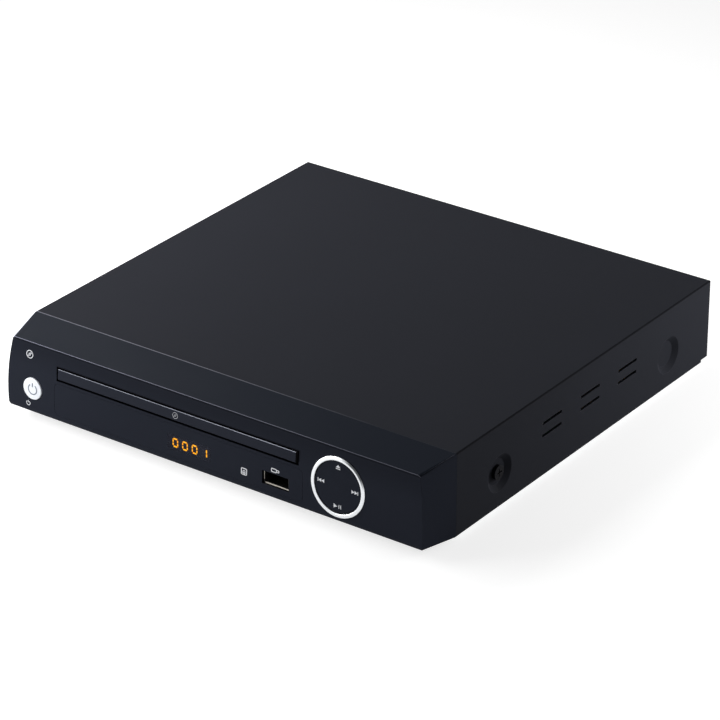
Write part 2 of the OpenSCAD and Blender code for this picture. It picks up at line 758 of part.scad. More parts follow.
module front_bezel() {
    color([0.07, 0.075, 0.09]) in_case() difference() {
        union() {
            difference() {
                bezel_form(0);
                bezel_form(bezel_wall);
            }
            // Frame round the tray opening.
            intersection() {
                bezel_form(0.4);
                block([slot_x0 - slot_lip, -bezel_len, slot_lo - slot_lip],
                      [slot_x1 + slot_lip, -bezel_len + slot_lip_len + 2, slot_hi + slot_lip]);
            }
            // Tube round the gimbal, with its pivot sockets, and the power button's guide.
            at_pad() along_z(socket_out, -socket_len, -1);
            at_power() along_z(power_d / 2 + guide_wall, -socket_len, -1);
            // Tongue inside the cover.
            block([-inner_x + fit, -1, inner_top - fit - lip_t], [inner_x - fit, lip_len, inner_top - fit]);
            for (s = [0, 1]) mirror([s, 0, 0])
                block([inner_x - fit - lip_t, -1, 5], [inner_x - fit, lip_len, inner_top - fit]);
            // Tabs that lie on the chassis floor.
            for (x = tab_x) block([x - tab_w / 2, -1.5, floor_z], [x + tab_w / 2, 9, floor_z + 1.6]);
            for (x = tab_x) block([x - tab_w / 2, -3, 1.2], [x + tab_w / 2, 0, 4]);
            // Posts that the control board is screwed to.
            for (p = board_posts())
                on_front(p) along_y(2.4, face_y(p[1]) + 1, panel_y);
        }
        block([slot_x0, -bezel_len - 1, slot_lo], [slot_x1, 1, slot_hi]);
        // Seat and opening of the display window, and the hole for the USB socket.
        intersection() {
            face_layer(-1, 1.5, window_x0 - 2, window_x1 + 2);
            wall_xz(-bezel_len - 2, 0) window_outline(0.1);
        }
        wall_xz(-bezel_len, panel_y) translate([window_x0 + 6, window_z0 + 1.6])
            round_rect([usb_x - usb_in[0] / 2 - 4 - window_x0 - 6, window_z1 - window_z0 - 3.2], 1);
        wall_xz(-bezel_len, panel_y)
            translate([usb_x - usb_in[0] / 2, usb_z - usb_in[1] / 2] - usb_play / 2 - [0.2, 0.2])
                round_rect(usb_in + usb_play + [0.4, 0.4], 0.5);
        // Ring seat and bore, gimbal bore and its two pivot holes.
        at_pad() {
            along_z(ring_d / 2 + 0.1, -ring_seat, 3);
            along_z(ring_in + sleeve_t + 0.1, -ring_seat - sleeve_len - 0.1, 3);
            along_z(socket_in, -socket_len - 1, 3);
            translate([0, 0, -gimbal_depth])
                along_x(gimbal_pin_r + turn_gap, -socket_out - 1, socket_out + 1);
        }
        at_power() {
            along_z(power_d / 2 + guide_gap, -socket_len - 1, 3);
            along_z(power_d / 2 + collar_w + guide_gap, -socket_len - 1, collar_t - cap_len + fit);
        }
        for (p = board_posts())
            on_front(p) along_y(screw_r - 0.4, face_y(p[1]) + 3, panel_y + 1);
    }
}

// Places of the control board's posts, clear of the window and the controls.
function board_posts() =
    [[panel_x0 + 5, 24.5], [panel_x1 - 4, 8], [panel_x1 - 4, case_h - 9]];

module display_window() {
    color([0.05, 0.055, 0.07, 0.85]) in_case() difference() {
        intersection() {
            face_layer(0, 1.5, window_x0 - 2, window_x1 + 2);
            wall_xz(-bezel_len - 2, 0) window_outline(0);
        }
        wall_xz(-bezel_len - 1, 0)
            translate([usb_x, usb_z]) square(usb_in + usb_play, center = true);
    }
}

module trim_ring() {
    r = ring_d / 2;
    rim = ring_in + ring_round;
    color([0.82, 0.83, 0.85]) in_case() at_pad() rotate_extrude() polygon(concat(
        [[ring_in, -ring_seat - sleeve_len], [ring_in + sleeve_t, -ring_seat - sleeve_len],
         [ring_in + sleeve_t, -ring_seat], [r, -ring_seat], [r, 0]],
        // The crown swells from the face to the inner rim.
        [for (a = [15:15:90]) [rim + (r - rim) * cos(a), ring_rise * sin(a)]],
        [for (a = [120:30:180]) [rim + ring_round * cos(a), ring_rise - ring_round * (1 - sin(a))]]));
}

// ---------- Controls ----------

// Round cap with a collar that keeps it behind its guide's shoulder, and a stem to the switch.
module power_button() {
    r = power_d / 2;
    stem_end = panel_y - key_h - power_travel - turn_gap;
    color([0.85, 0.86, 0.88]) in_case() {
        at_power() rotate_extrude() polygon(concat(
            [[0, -cap_t], [r - cap_wall, -cap_t], [r - cap_wall, -cap_len], [r + collar_w, -cap_len],
             [r + collar_w, -cap_len + collar_t], [r, -cap_len + collar_t]],
            [for (a = [0:30:90]) [r - edge_r + edge_r * cos(a), edge_r * sin(a)]],
            [[r / 2, 0.52], [0, 0.55]]));
        translate([power_x, 0, power_z]) along_y(1.6, face_y(power_z) + cap_t - 0.5, stem_end);
    }
}

// Rocking disc with four plungers and two pins that turn in the gimbal.
module nav_pad() {
    plunger_end = panel_y - key_h - key_gap;
    ear_out = gimbal_out - gimbal_w - 0.45;
    color([0.07, 0.075, 0.09]) in_case() {
        at_pad() {
            rotate_extrude() polygon([
                [0, -pad_t], [pad_r, -pad_t], [pad_r, -0.2], [pad_r - 0.3, 0.1], [0, 0.25]
            ]);
            // Ears that carry the pins.
            for (a = [0, 180]) rotate(a) {
                translate([-ear_w / 2, ear_out - ear_t, -gimbal_depth - 1.1])
                    cube([ear_w, ear_t, gimbal_depth + 1.1 - pad_t + tiny]);
                translate([0, 0, -gimbal_depth]) along_y(gimbal_pin_r, ear_out - 0.5, gimbal_out - 0.2);
            }
        }
        // Plungers, which end square to the board and clear of the switches.
        for (p = key_places()) on_front(p) along_y(1, face_y(pad_z) + 1, plunger_end);
    }
}

// Places of the four key switches behind the pad.
function key_places() = [for (a = [0:90:270]) [pad_x + key_reach * cos(a), pad_z + key_reach * sin(a)]];

module pad_gimbal() {
    color([0.75, 0.76, 0.74]) in_case() at_pad() translate([0, 0, -gimbal_depth]) difference() {
        union() {
            tube_z(gimbal_out, gimbal_out - gimbal_w, -gimbal_t / 2, gimbal_t / 2);
            for (s = [-1, 1]) rotate([0, 0, s > 0 ? 0 : 180])
                along_x(gimbal_pin_r, gimbal_out - 1, socket_out - 0.3);
        }
        rotate([0, 0, 90]) along_x(gimbal_pin_r + turn_gap, -gimbal_out - 1, gimbal_out + 1);
    }
}

module front_board() {
    color([0.05, 0.26, 0.14]) in_case() difference() {
        wall_xz(panel_y, panel_y + board_t) {
            translate([panel_x0, 5]) square([window_x1 + 2 - panel_x0, low_board_top - 5]);
            translate([panel_x0, 5]) square([slot_x0 - 4 - panel_x0, 23.5]);
            translate([window_x1, 5]) square([panel_x1 - window_x1, case_h - 11]);
        }
        wall_xz(panel_y - 1, 0)
            translate([usb_x, usb_z]) square(usb_in + 2 * [usb_wall + 0.1, usb_wall + 0.1], center = true);
        for (p = board_posts()) on_front(p) along_y(screw_r - 0.2, panel_y - 1, 0);
    }
}

// One seven-segment figure, w wide and digit_h high, of segments t thick. lit says which of the
// segments top, upper right, lower right, bottom, lower left, upper left and middle glow.
module digit(lit, w, t) {
    h = digit_h;
    gap = 0.12;
    bars = [
        [[t, h - t], [w - 2 * t, t]], [[w - t, h / 2 + gap], [t, h / 2 - t]],
        [[w - t, t - gap], [t, h / 2 - t]], [[t, 0], [w - 2 * t, t]],
        [[0, t - gap], [t, h / 2 - t]], [[0, h / 2 + gap], [t, h / 2 - t]],
        [[t, h / 2 - t / 2], [w - 2 * t, t]]
    ];
    for (i = [0:6]) if (lit[i] == 1) translate(bars[i][0] + [gap / 2, 0]) square(bars[i][1] - [gap, 0]);
}

digit_pitch = 5.2;
digit_w = 3;
digit_stroke = 0.55;
module_len = 34;
module_h = window_z1 - window_z0 - 3.7;
module_front = face_y(window_z0 + 5) + 1.9;
digit_low = window_z0 + 3.8;
figure_zero = [1, 1, 1, 1, 1, 1, 0];
figure_one = [0, 1, 1, 0, 0, 0, 0];

module display_module() {
    x0 = digit_x + 1.5 * digit_pitch - module_len / 2;
    z0 = window_z0 + 1.8;
    color([0.16, 0.05, 0.05]) in_case()
        block([x0, module_front, z0], [x0 + module_len, panel_y, z0 + module_h]);
}

module display_digits() {
    color([1, 0.5, 0.05]) in_case() wall_xz(module_front - 0.2, module_front)
        for (i = [0:3]) translate([digit_x + i * digit_pitch - digit_w / 2, digit_low])
            digit(i == 3 ? figure_one : figure_zero, digit_w, digit_stroke);
}

module ir_receiver() {
    x = 18.3;
    z = 9.8;
    color([0.09, 0.07, 0.09]) in_case() {
        block([x - 3, panel_y - 4.2, z - 3.4], [x + 3, panel_y, z + 3.4]);
        translate([x, 0, z]) intersection() {
            translate([0, panel_y - 3.6, 0]) sphere(r = 2.6);
            block([-3, panel_y - 8, -3], [3, panel_y - 4.2 + tiny, 3]);
        }
    }
}

usb_front = face_y(usb_z) + usb_lead;

module usb_shell() {
    outer = usb_in + 2 * [usb_wall, usb_wall];
    color([0.75, 0.75, 0.76]) in_case() translate([usb_x, 0, usb_z]) difference() {
        wall_xz(usb_front, usb_front + usb_len) square(outer, center = true);
        wall_xz(usb_front - 1, usb_front + usb_len - usb_wall) square(usb_in, center = true);
    }
}

module usb_tongue() {
    color([0.05, 0.05, 0.055]) in_case() translate([usb_x, 0, usb_z]) {
        wall_xz(usb_front + 3.4, usb_front + usb_len - usb_wall) translate([-5.6, 0.4]) square([11.2, 1.8]);
        wall_xz(usb_front + usb_len - 3, usb_front + usb_len - usb_wall)
            square(usb_in - [0.1, 0.1], center = true);
    }
}

module key_switches() {
    color([0.13, 0.13, 0.14]) in_case() for (p = concat(key_places(), [[power_x, power_z]]))
        on_front(p) {
            wall_xz(panel_y - key_body_h, panel_y) square(key_body, center = true);
            along_y(key_stem_r, panel_y - key_h, panel_y - key_body_h + tiny);
        }
}

// ---------- Rear connections and circuit boards ----------

// Places of the jacks on the rear panel.
module at_jacks() {
    for (i = [0:jack_count - 1]) translate([jack_x + i * jack_pitch, 0, jack_z]) children();
}

module av_jack_block() {
    color([0.06, 0.06, 0.065]) in_case() difference() {
        block([jack_x - 6.5, rear - sheet - 13, board_top - z_case],
              [jack_x + (jack_count - 1) * jack_pitch + 6.5, rear - sheet, jack_z + 6.5]);
        at_jacks() along_y(jack_in, rear - sheet - 11, rear);
    }
}

module av_jack_shells() {
    color([0.72, 0.72, 0.73]) in_case() at_jacks() difference() {
        union() {
            along_y(jack_r, rear + jack_root, rear + jack_len);
            // Undercut where the barrel passes the panel.
            along_y(jack_neck, rear - sheet, rear + jack_root + tiny);
        }
        along_y(jack_in, rear - sheet - 1, rear + jack_len + 1);
    }
}

module av_jack_inserts() {
    colours = [[0.9, 0.75, 0.1], [0.85, 0.85, 0.83], [0.75, 0.1, 0.1], [0.85, 0.4, 0.08]];
    for (i = [0:jack_count - 1])
        color(colours[i]) in_case() translate([jack_x + i * jack_pitch, 0, jack_z]) difference() {
            along_y(jack_in - 0.1, rear - sheet - 8, rear + jack_len - 0.4);
            along_y(1.7, rear - sheet - 6, rear + jack_len + 1);
        }
}

module hdmi_outline(grow) {
    w = hdmi_in[0] / 2 + grow;
    h = hdmi_in[1] / 2 + grow;
    polygon([[-w, h], [w, h], [w, -h * 0.2], [w - 2, -h], [-w + 2, -h], [-w, -h * 0.2]]);
}

module hdmi_shell() {
    color([0.7, 0.7, 0.71]) in_case() translate([hdmi_x, 0, jack_z]) difference() {
        union() {
            wall_xz(rear - hdmi_len, rear + 0.4) hdmi_outline(hdmi_wall);
            // Feet that are soldered to the board.
            for (s = [-1, 1]) translate([s * 6.5, rear, 0])
                block([-0.6, -9, board_top - z_case - jack_z], [0.6, -6, -1]);
        }
        wall_xz(rear - hdmi_len + hdmi_wall, rear + 1) hdmi_outline(0);
    }
}

module hdmi_tongue() {
    color([0.05, 0.05, 0.055]) in_case() translate([hdmi_x, 0, jack_z]) {
        wall_xz(rear - hdmi_len + hdmi_wall, rear - 1.2) translate([-6, -0.1]) square([12, 1.3]);
        wall_xz(rear - hdmi_len + hdmi_wall, rear - 7) hdmi_outline(-0.05);
    }
}

// Outline of the two-pin inlet: a rectangle with one round end on each side.
module inlet_outline(grow) {
    size = inlet_in + 2 * [grow, grow];
    translate(-size / 2) round_rect(size, size[1] / 2 - 0.6);
}

module mains_inlet() {
    front = rear - inlet_depth - 6;
    body = inlet_in + 2 * [inlet_wall, inlet_wall];
    color([0.05, 0.05, 0.055]) in_case() translate([inlet_x, 0, inlet_z]) difference() {
        union() {
            wall_xz(front, rear + 0.8) translate(-body / 2) round_rect(body, 1.9);
            wall_xz(rear, rear + 0.8) translate([-13.5, -8]) round_rect([27, 16], 2);
            block([-10, front, board_top - z_case - inlet_z], [10, rear - 3, -inlet_in[1] / 2]);
        }
        wall_xz(rear - inlet_depth, rear + 2) inlet_outline(0);
        for (s = [-1, 1])
            translate([s * inlet_pin_gap / 2, 0, 0]) along_y(inlet_pin_r + 0.03, front - 1, rear);
    }
}

module mains_pins() {
    color([0.78, 0.78, 0.78]) in_case() translate([inlet_x, 0, inlet_z]) for (s = [-1, 1])
        translate([s * inlet_pin_gap / 2, 0, 0]) {
            along_y(inlet_pin_r, rear - inlet_depth - 8, rear - 3.5);
            translate([0, rear - 3.5, 0]) sphere(r = inlet_pin_r);
        }
}

module board(x, y) {
    in_case() difference() {
        block([x[0], y[0], board_z - z_case], [x[1], y[1], board_top - z_case]);
        for (p = board_places()) at_place(p) along_z(screw_r + 0.1, 0, 20);
    }
}

module main_board() {
    color([0.05, 0.26, 0.14]) board([side_x0, side_x1], main_y);
}

module power_board() {
    color([0.45, 0.32, 0.12]) board([side_x0, side_x1], power_y);
}

module av_board() {
    color([0.05, 0.26, 0.14]) board(av_x, av_y);
}

// A chip with rows of legs along two sides.
module chip(p, size, h) {
    translate([p[0], p[1], board_top]) {
        translate([-size[0] / 2, -size[1] / 2, 0.2]) cube([size[0], size[1], h]);
        for (i = [0:floor(size[1] / 2) - 1], s = [-1, 1])
            translate([s * size[0] / 2, -size[1] / 2 + 1 + 2 * i, 0.4]) cube([2.4, 0.8, 0.8], center = true);
    }
}

// A place on the main board: x from one of its sides, y as a share of its length.
function on_main(x, share) =
    [x, y_joint + main_y[0] + share * (main_y[1] - main_y[0])];

module board_chips() {
    color([0.08, 0.08, 0.09]) {
        chip(on_main((side_x0 + side_x1) / 2, 0.38), [20, 20], 1.4);
        chip(on_main(side_x0 + 10, 0.7), [10, 18], 1.2);
        chip(on_main(side_x1 - 13, 0.7), [8, 12], 1.2);
        chip(on_main(side_x1 - 13, 0.16), [6, 10], 1.2);
        chip([-60, y_joint + av_y[0] + 5], [5, 5], 1.2);
    }
}

// Upright electrolytic capacitor with a rounded can and a marked top.
module capacitor(p, r, h) {
    translate([p[0], p[1], board_top]) rotate_extrude() polygon([
        [0, 0], [r, 0], [r, 1.2], [r - 0.3, 1.6], [r, 2], [r, h - 0.8], [r - 0.8, h], [0, h]
    ]);
}

module board_capacitors() {
    y = y_joint + power_y[0];
    color([0.10, 0.13, 0.25]) {
        capacitor([side_x0 + 12, y + 60], 8, 24);
        capacitor([side_x0 + 7, y + 16], 5, 16);
        capacitor([side_x1 - 20, y + 12], 4, 12);
        capacitor(on_main(side_x0 + 5, 0.19), 3, 8);
        capacitor(on_main(side_x1 - 13, 0.89), 3, 8);
        for (i = [0:3]) capacitor([-18 + i * 14, y_joint + av_y[0] + 8], 3.2, 9);
    }
}

// Ferrite core in two halves round a taped winding.
module transformer() {
    color([0.75, 0.6, 0.15]) translate([side_x1 - 14, y_joint + power_y[0] + 40, board_top]) {
        difference() {
            block([-11, -10, 0], [11, 10, 17]);
            block([-12, -6.5, 3.5], [12, 6.5, 13.5]);
        }
        block([-8.5, -6.4, 3.6], [8.5, 6.4, 13.4]);
    }
}

// Finned plate that stands on the board behind a power transistor.
module heat_sinks() {
    color([0.6, 0.6, 0.61]) translate([side_x1 - 12, y_joint + power_y[0] + 18, board_top]) {
        block([-9, -1, 0], [9, 0.6, 20]);
        for (i = [-4:4]) block([i * 2.1 - 0.4, 0.5, 3], [i * 2.1 + 0.4, 6, 20]);
    }
}

module panel_ribbon() {
    w = 14;
    t = 0.3;
    x = 70;
    back = panel_y + board_t;
    end_y = main_y[0] + 9;
    top = 15;
    low = board_top - z_case;
    color([0.85, 0.85, 0.82]) in_case() wall_yz(x - w / 2, x + w / 2) union() {
        translate([back, top - t]) square([end_y - back - 1, t]);
        translate([end_y - 1 - t, low]) square([t, top - low]);
    }
}

module board_screws() {
    color([0.7, 0.7, 0.68]) in_case() {
        for (p = board_places())
            translate([p[0], p[1], board_top - z_case]) screw(2.7, 1.6, screw_r - 0.25, board_t + 3.5);
        for (p = board_posts()) translate([p[0], panel_y + board_t, p[1]]) rotate([-90, 0, 0])
            screw(2.3, 1.4, screw_r - 0.45, board_t + 4);
    }
}

// ---------- Loader ----------

module loader_frame() {
    w = frame_in + tiny;
    guide = [-frame_in, cam_y0 - 1.6, frame_foot - 1];
    color([0.11, 0.11, 0.12]) in_loader() difference() {
        union() {
            for (s = [0, 1]) mirror([s, 0, 0]) {
                block([frame_in, frame_y0, frame_foot], [frame_out, frame_y1, frame_top]);
                // Ledge under the tray's rail, and hooks over it.
                block([tray_half + 0.4, frame_y0, tray_low - 1.6], [w, frame_y1, tray_low - 0.1]);
                for (y = [frame_y0 + 2, 70, 118])
                    block([tray_half + 0.4, y, tray_low + 0.2 + rail_h + slide_gap],
                          [w, y + 12, tray_low + 0.2 + rail_h + slide_gap + 1.2]);
                // Towers that the clamp bridge is screwed to.
                for (y = tower_y) translate([tower_x, y, 0]) along_z(tower_r, frame_foot + 10, bridge_z);
                for (y = lug_y) {
                    translate([lug_x, y, 0]) along_z(4, lug_z, lug_z + lug_t);
                    block([frame_out - 1, y - 4, lug_z], [lug_x, y + 4, lug_z + lug_t]);
                }
                // Rear bearings of the traverse.
                translate([bearing_x, pivot_y - 4, pivot_z - 6])
                    cube([bearing_t, frame_y1 + 1 - pivot_y, 10]);
            }
            // Deck under the gears and rear cross member.
            block([-w, frame_y0, deck_low], [w, plate_y0 - 2, deck_top]);
            block([-w, frame_y1 - 6, frame_foot + 2], [w, frame_y1, pivot_z + 6]);
            // Guide of the cam slider: a wall in front of it and a ledge below.
            block(guide, [frame_in, cam_y0 - 0.3, deck_low + tiny]);
            block(guide, [frame_in, cam_y0 + cam_t + 1.5, cam_z0 - 0.3]);
            at_place(drive_pos) {
                along_z(post_r, deck_top - tiny, tray_under - 0.6);
                along_z(3, deck_top - tiny, train_z - 0.1);
            }
            at_place(pulley_pos) {
                along_z(post_r, deck_top - tiny, train_z + train_level + 0.1);
            }
        }
        at_place(motor_pos) along_z(4, deck_low - 1, deck_top + 1);
        for (s = [0, 1]) mirror([s, 0, 0]) translate([0, pivot_y, pivot_z])
            along_x(pivot_r + turn_gap, bearing_x - 1, bearing_x + bearing_t + 1);
        for (s = [-1, 1], y = lug_y)
            translate([s * lug_x, y, 0]) along_z(screw_r + 0.1, lug_z - 1, lug_z + lug_t + 1);
        for (s = [-1, 1], y = tower_y)
            translate([s * tower_x, y, 0]) along_z(screw_r - 0.4, bridge_z - 7, bridge_z + 1);
    }
}

module clamp_bridge() {
    end_x = tower_x + tower_r + 0.5;
    color([0.62, 0.63, 0.64]) in_loader() difference() {
        union() {
            block([-end_x, disc_y - bridge_half, bridge_z], [end_x, disc_y + bridge_half, bridge_z + sheet]);
            // Stiffening flanges along both edges.
            for (y = [disc_y - bridge_half, disc_y + bridge_half - sheet])
                block([-end_x + 10, y, bridge_z], [end_x - 10, y + sheet, bridge_z + 2.6]);
        }
        translate([0, disc_y, 0]) along_z(10.4, bridge_z - 1, bridge_z + 2);
        for (s = [-1, 1], y = tower_y)
            translate([s * tower_x, y, 0]) along_z(screw_r, bridge_z - 1, bridge_z + 2);
        for (s = [-1, 1]) translate([s * 38, disc_y, bridge_z - 1]) linear_extrude(3)
            translate([-12, -6]) round_rect([24, 12], 3);
    }
}

module loader_screws() {
    color([0.7, 0.7, 0.68]) in_loader() for (s = [-1, 1]) {
        for (y = lug_y)
            translate([s * lug_x, y, lug_z + lug_t]) screw(3.2, 1.8, screw_r - 0.25, lug_t + 3.5);
        for (y = tower_y)
            translate([s * tower_x, y, bridge_z + sheet]) screw(2.7, 1.6, screw_r - 0.45, 6);
    }
}

module loading_motor() {
    top = deck_low;
    color([0.68, 0.68, 0.7]) in_loader() at_place(motor_pos) difference() {
        union() {
            along_z(motor_r, top - motor_h, top);
            along_z(3.4, top - tiny, top + 1.2);
        }
        along_z(shaft_r + turn_gap, top - motor_h + 2, top + 3);
    }
}

module drive_belt() {
    mid = belt_z + belt_level / 2;
    color([0.03, 0.03, 0.03]) in_loader() translate([0, 0, mid - belt_t / 2]) linear_extrude(belt_t)
        difference() {
            hull() {
                translate(pulley_pos) circle(pulley_r + 0.1 + belt_t, $fn = 64);
                translate(motor_pos) circle(motor_pulley_r + 0.1 + belt_t, $fn = 32);
            }
            hull() {
                translate(pulley_pos) circle(pulley_r + 0.1, $fn = 64);
                translate(motor_pos) circle(motor_pulley_r + 0.1, $fn = 32);
            }
        }
}

// Grooved wheel for the belt.
module belt_wheel(r, z0) {
    translate([0, 0, z0]) rotate_extrude() polygon([
        [0, 0], [r + 0.9, 0], [r + 0.9, 0.15], [r, 0.25], [r, belt_level - 0.25],
        [r + 0.9, belt_level - 0.15], [r + 0.9, belt_level], [0, belt_level]
    ]);
}

module motor_pulley() {
    color([0.8, 0.8, 0.78]) in_loader() at_place(motor_pos) {
        belt_wheel(motor_pulley_r, belt_z);
        along_z(shaft_r, deck_low - motor_h + 2.5, belt_z + tiny);
    }
}

module pulley_gear() {
    color([0.85, 0.85, 0.82]) in_loader() at_place(pulley_pos) difference() {
        union() {
            belt_wheel(pulley_r, belt_z);
            rotate(train_angle + 180 + 180 / reduction_teeth) translate([0, 0, belt_z + belt_level - tiny])
                linear_extrude(train_level + 0.1) gear_shape(reduction_teeth, train_m);
        }
        along_z(post_r + turn_gap, belt_z - 1, train_z + train_level + 1);
    }
}

module drive_gear() {
    color([0.85, 0.85, 0.82]) in_loader() at_place(drive_pos) difference() {
        union() {
            rotate(train_angle) translate([0, 0, train_z]) linear_extrude(train_level) difference() {
                gear_shape(drive_teeth, train_m);
                // Lightening holes round the hub.
                for (a = [0:60:300]) rotate(a) translate([7.6, 0]) circle(2.2);
            }
            translate([0, 0, train_z + train_level - tiny])
                linear_extrude(pinion_z + pinion_level - train_z - train_level + tiny)
                    gear_shape(rack_pinion_teeth, rack_m);
        }
        along_z(post_r + turn_gap, train_z - 1, tray_top);
    }
}

module disc_tray() {
    well_r = disc_d / 2 + disc_clear;
    front = face_y(slot_z) + door_t;
    rack_first = ceil((10 - drive_pos[1]) / (PI * rack_m));
    rack_last = floor((tray_travel + 3) / (PI * rack_m));
    color([0.075, 0.08, 0.09]) in_loader() difference() {
        union() {
            block([-tray_half, front - 1, tray_under], [tray_half, tray_end, tray_top]);
            for (s = [0, 1]) mirror([s, 0, 0]) {
                // Running rails and inner skirts.
                block([tray_half - tiny, frame_y0 + 2, tray_low + 0.2],
                      [tray_half + rail_w, tray_end, tray_low + 0.2 + rail_h]);
                block([tray_half - 1.6, front - 1, tray_low], [tray_half, tray_end, tray_under + tiny]);
            }
            block([-tray_half, front - 1, tray_low], [tray_half, front + 2, tray_under + tiny]);
            translate([rack_x, drive_pos[1], tray_low]) linear_extrude(tray_under - tray_low + tiny)
                rack_shape(rack_first, rack_last, rack_m, 1.4);
        }
        // Wells for large and small discs, and the stepped finger hollow at the front.
        translate([0, disc_y, 0]) {
            along_z(well_r, tray_top - well_depth, tray_top + 1);
            along_z(small_well_d / 2, tray_top - well_depth - small_well_depth, tray_top);
            for (s = [-1, 1]) translate([s * 34, -disc_y + front + 16, 0])
                along_z(9, tray_top - well_depth, tray_top + 1);
        }
        // The front end follows the back of the door.
        translate([0, 0, z_case]) face_layer(-3, door_t, -tray_half - 1, tray_half + 1);
        // Window for the turntable and the pickup, open to the rear.
        translate([0, disc_y, 0]) along_z(window_half, tray_low - 1, tray_top + 1);
        block([-window_half, disc_y, tray_low - 1], [window_half, tray_end + 1, tray_top + 1]);
    }
}

module tray_door() {
    x0 = slot_x - door_w / 2;
    lo = slot_z - door_h / 2;
    color([0.08, 0.085, 0.10]) in_case() intersection() {
        difference() {
            face_layer(0, door_t, x0, x0 + door_w);
            // A small chamfer along the upper and lower edges catches the light.
            for (z = [lo, lo + door_h]) translate([0, face_y(z), z]) rotate([45, 0, 0])
                cube([case_w, 0.7, 0.7], center = true);
        }
        wall_xz(-bezel_len - 1, 0) translate([x0, lo]) square([door_w, door_h]);
    }
}

// Bar with two sloping slots, which lower the traverse as it slides.
module cam_slider() {
    slot_r = pin_r + cam_slot_gap;
    slope = atan2(pin_drop, cam_travel);
    run = norm([cam_travel, pin_drop]);
    color([0.85, 0.85, 0.82]) in_loader() difference() {
        block([cam_x0, cam_y0, cam_z0], [cam_x1, cam_y0 + cam_t, cam_z1]);
        for (x = [-pin_x, pin_x]) translate([x, 0, pin_z]) {
            along_y(slot_r, cam_y0 - 1, cam_y0 + cam_t + 1);
            translate([-cam_travel, 0, -pin_drop]) along_y(slot_r, cam_y0 - 1, cam_y0 + cam_t + 1);
            rotate([0, -slope, 0]) block([-run, cam_y0 - 1, -slot_r], [0, cam_y0 + cam_t + 1, slot_r]);
        }
        // Lightening windows between the slots.
        for (x = [-28, -2]) translate([x, cam_y0 - 1, cam_z0 + 2]) cube([8, cam_t + 2, 4]);
    }
}

module traverse_plate() {
    open_y = [rod_y0 + rod_bracket - 0.1, rod_y1 - rod_bracket + 0.1];
    ear = [plate_half - plate_t, plate_y1 - 8, pivot_z - 3];
    color([0.62, 0.63, 0.64]) in_loader() difference() {
        union() {
            block([-plate_half, plate_y0, plate_z], [plate_half, plate_y1, plate_z + plate_t]);
            // Front ears with the lifting pins.
            for (x = [-pin_x, pin_x]) {
                block([x - 3.5, plate_y0, pin_z - 3], [x + 3.5, plate_y0 + plate_t, plate_z + tiny]);
                translate([x, 0, pin_z]) along_y(pin_r, pin_y0, plate_y0 + tiny);
            }
            // Rear ears with the pivot pins.
            for (s = [0, 1]) mirror([s, 0, 0]) {
                block(ear, [plate_half, plate_y1, plate_z + tiny]);
                block(ear, [plate_half, pivot_y + 3, pivot_z + 3]);
                translate([0, pivot_y, pivot_z]) along_x(pivot_r, plate_half - tiny, bearing_x + bearing_t);
                // Brackets of the guide rods.
                for (y = [rod_y0 - 0.9, rod_y1 + 0.9 - rod_bracket])
                    block([rod_x - 4, y, rod_z - 3], [rod_x + 4, y + rod_bracket, plate_z + tiny]);
            }
            at_place(sled_gear_pos) along_z(1.2, plate_z + plate_t - tiny, sled_rack_z + 2.6);
        }
        block([-29, open_y[0], plate_z - 1], [29, open_y[1], plate_z + plate_t + 1]);
        translate([0, disc_y, 0]) along_z(4, plate_z - 1, plate_z + 3);
        at_place(sled_motor_pos) along_z(2.6, plate_z - 1, plate_z + 3);
        for (s = [-1, 1]) translate([s * rod_x, 0, rod_z]) along_y(rod_r + 0.03, rod_y0 - 0.1, rod_y1 + 0.1);
    }
}

module guide_rods() {
    color([0.8, 0.8, 0.82]) in_loader() for (s = [-1, 1])
        translate([s * rod_x, 0, rod_z]) along_y(rod_r, rod_y0, rod_y1);
}

module spindle_motor() {
    color([0.7, 0.7, 0.72]) in_loader() translate([0, disc_y, 0]) difference() {
        union() {
            along_z(spindle_r, plate_z - spindle_h, plate_z);
            along_z(3.5, plate_z - tiny, plate_z + plate_t + 1.6);
        }
        along_z(shaft_r + turn_gap, plate_z - spindle_h + 1, plate_z + 6);
    }
}

module sled_motor() {
    color([0.7, 0.7, 0.72]) in_loader() at_place(sled_motor_pos) difference() {
        union() {
            along_z(6.5, plate_z - 11, plate_z);
            along_z(2.4, plate_z - tiny, plate_z + plate_t);
        }
        along_z(0.75 + turn_gap, plate_z - 8, plate_z + 3);
    }
}

module turntable() {
    low = plate_z + plate_t + 2;
    pad_low = seat_z - 0.5;
    color([0.75, 0.75, 0.74]) in_loader() translate([0, disc_y, 0]) {
        rotate_extrude() polygon([
            [0, low], [9, low], [9, pad_low - 1.1], [table_r, pad_low - 1.1], [table_r, pad_low],
            [10.5, pad_low], [10.5, seat_z - 0.1], [hub_r, seat_z - 0.1], [hub_r, seat_z + hub_h * 0.4],
            [hub_r - 1.6, seat_z + hub_h], [0, seat_z + hub_h]
        ]);
        along_z(shaft_r, plate_z - spindle_h + 1.5, low + tiny);
    }
}

module turntable_pad() {
    color([0.1, 0.1, 0.1]) in_loader() translate([0, disc_y, 0])
        tube_z(table_r, 10.6, seat_z - 0.5, seat_z);
}

module disc_clamper() {
    low = seat_z + 0.3;
    neck_top = bridge_z + sheet + 1;
    color([0.85, 0.85, 0.82]) in_loader() translate([0, disc_y, 0]) difference() {
        union() {
            along_z(table_r, low, low + 2.4);
            along_z(9.4, low + 2.4 - tiny, neck_top + tiny);
            along_z(12, neck_top, neck_top + 1.2);
        }
        along_z(hub_r + 0.5, low - 1, seat_z + hub_h + 0.3);
        along_z(6, seat_z + hub_h + 1, neck_top + 2);
    }
}

module clamper_magnet() {
    low = seat_z + hub_h + 1;
    color([0.25, 0.25, 0.26]) in_loader() translate([0, disc_y, 0])
        along_z(5.8, low, bridge_z + sheet + 0.6);
}

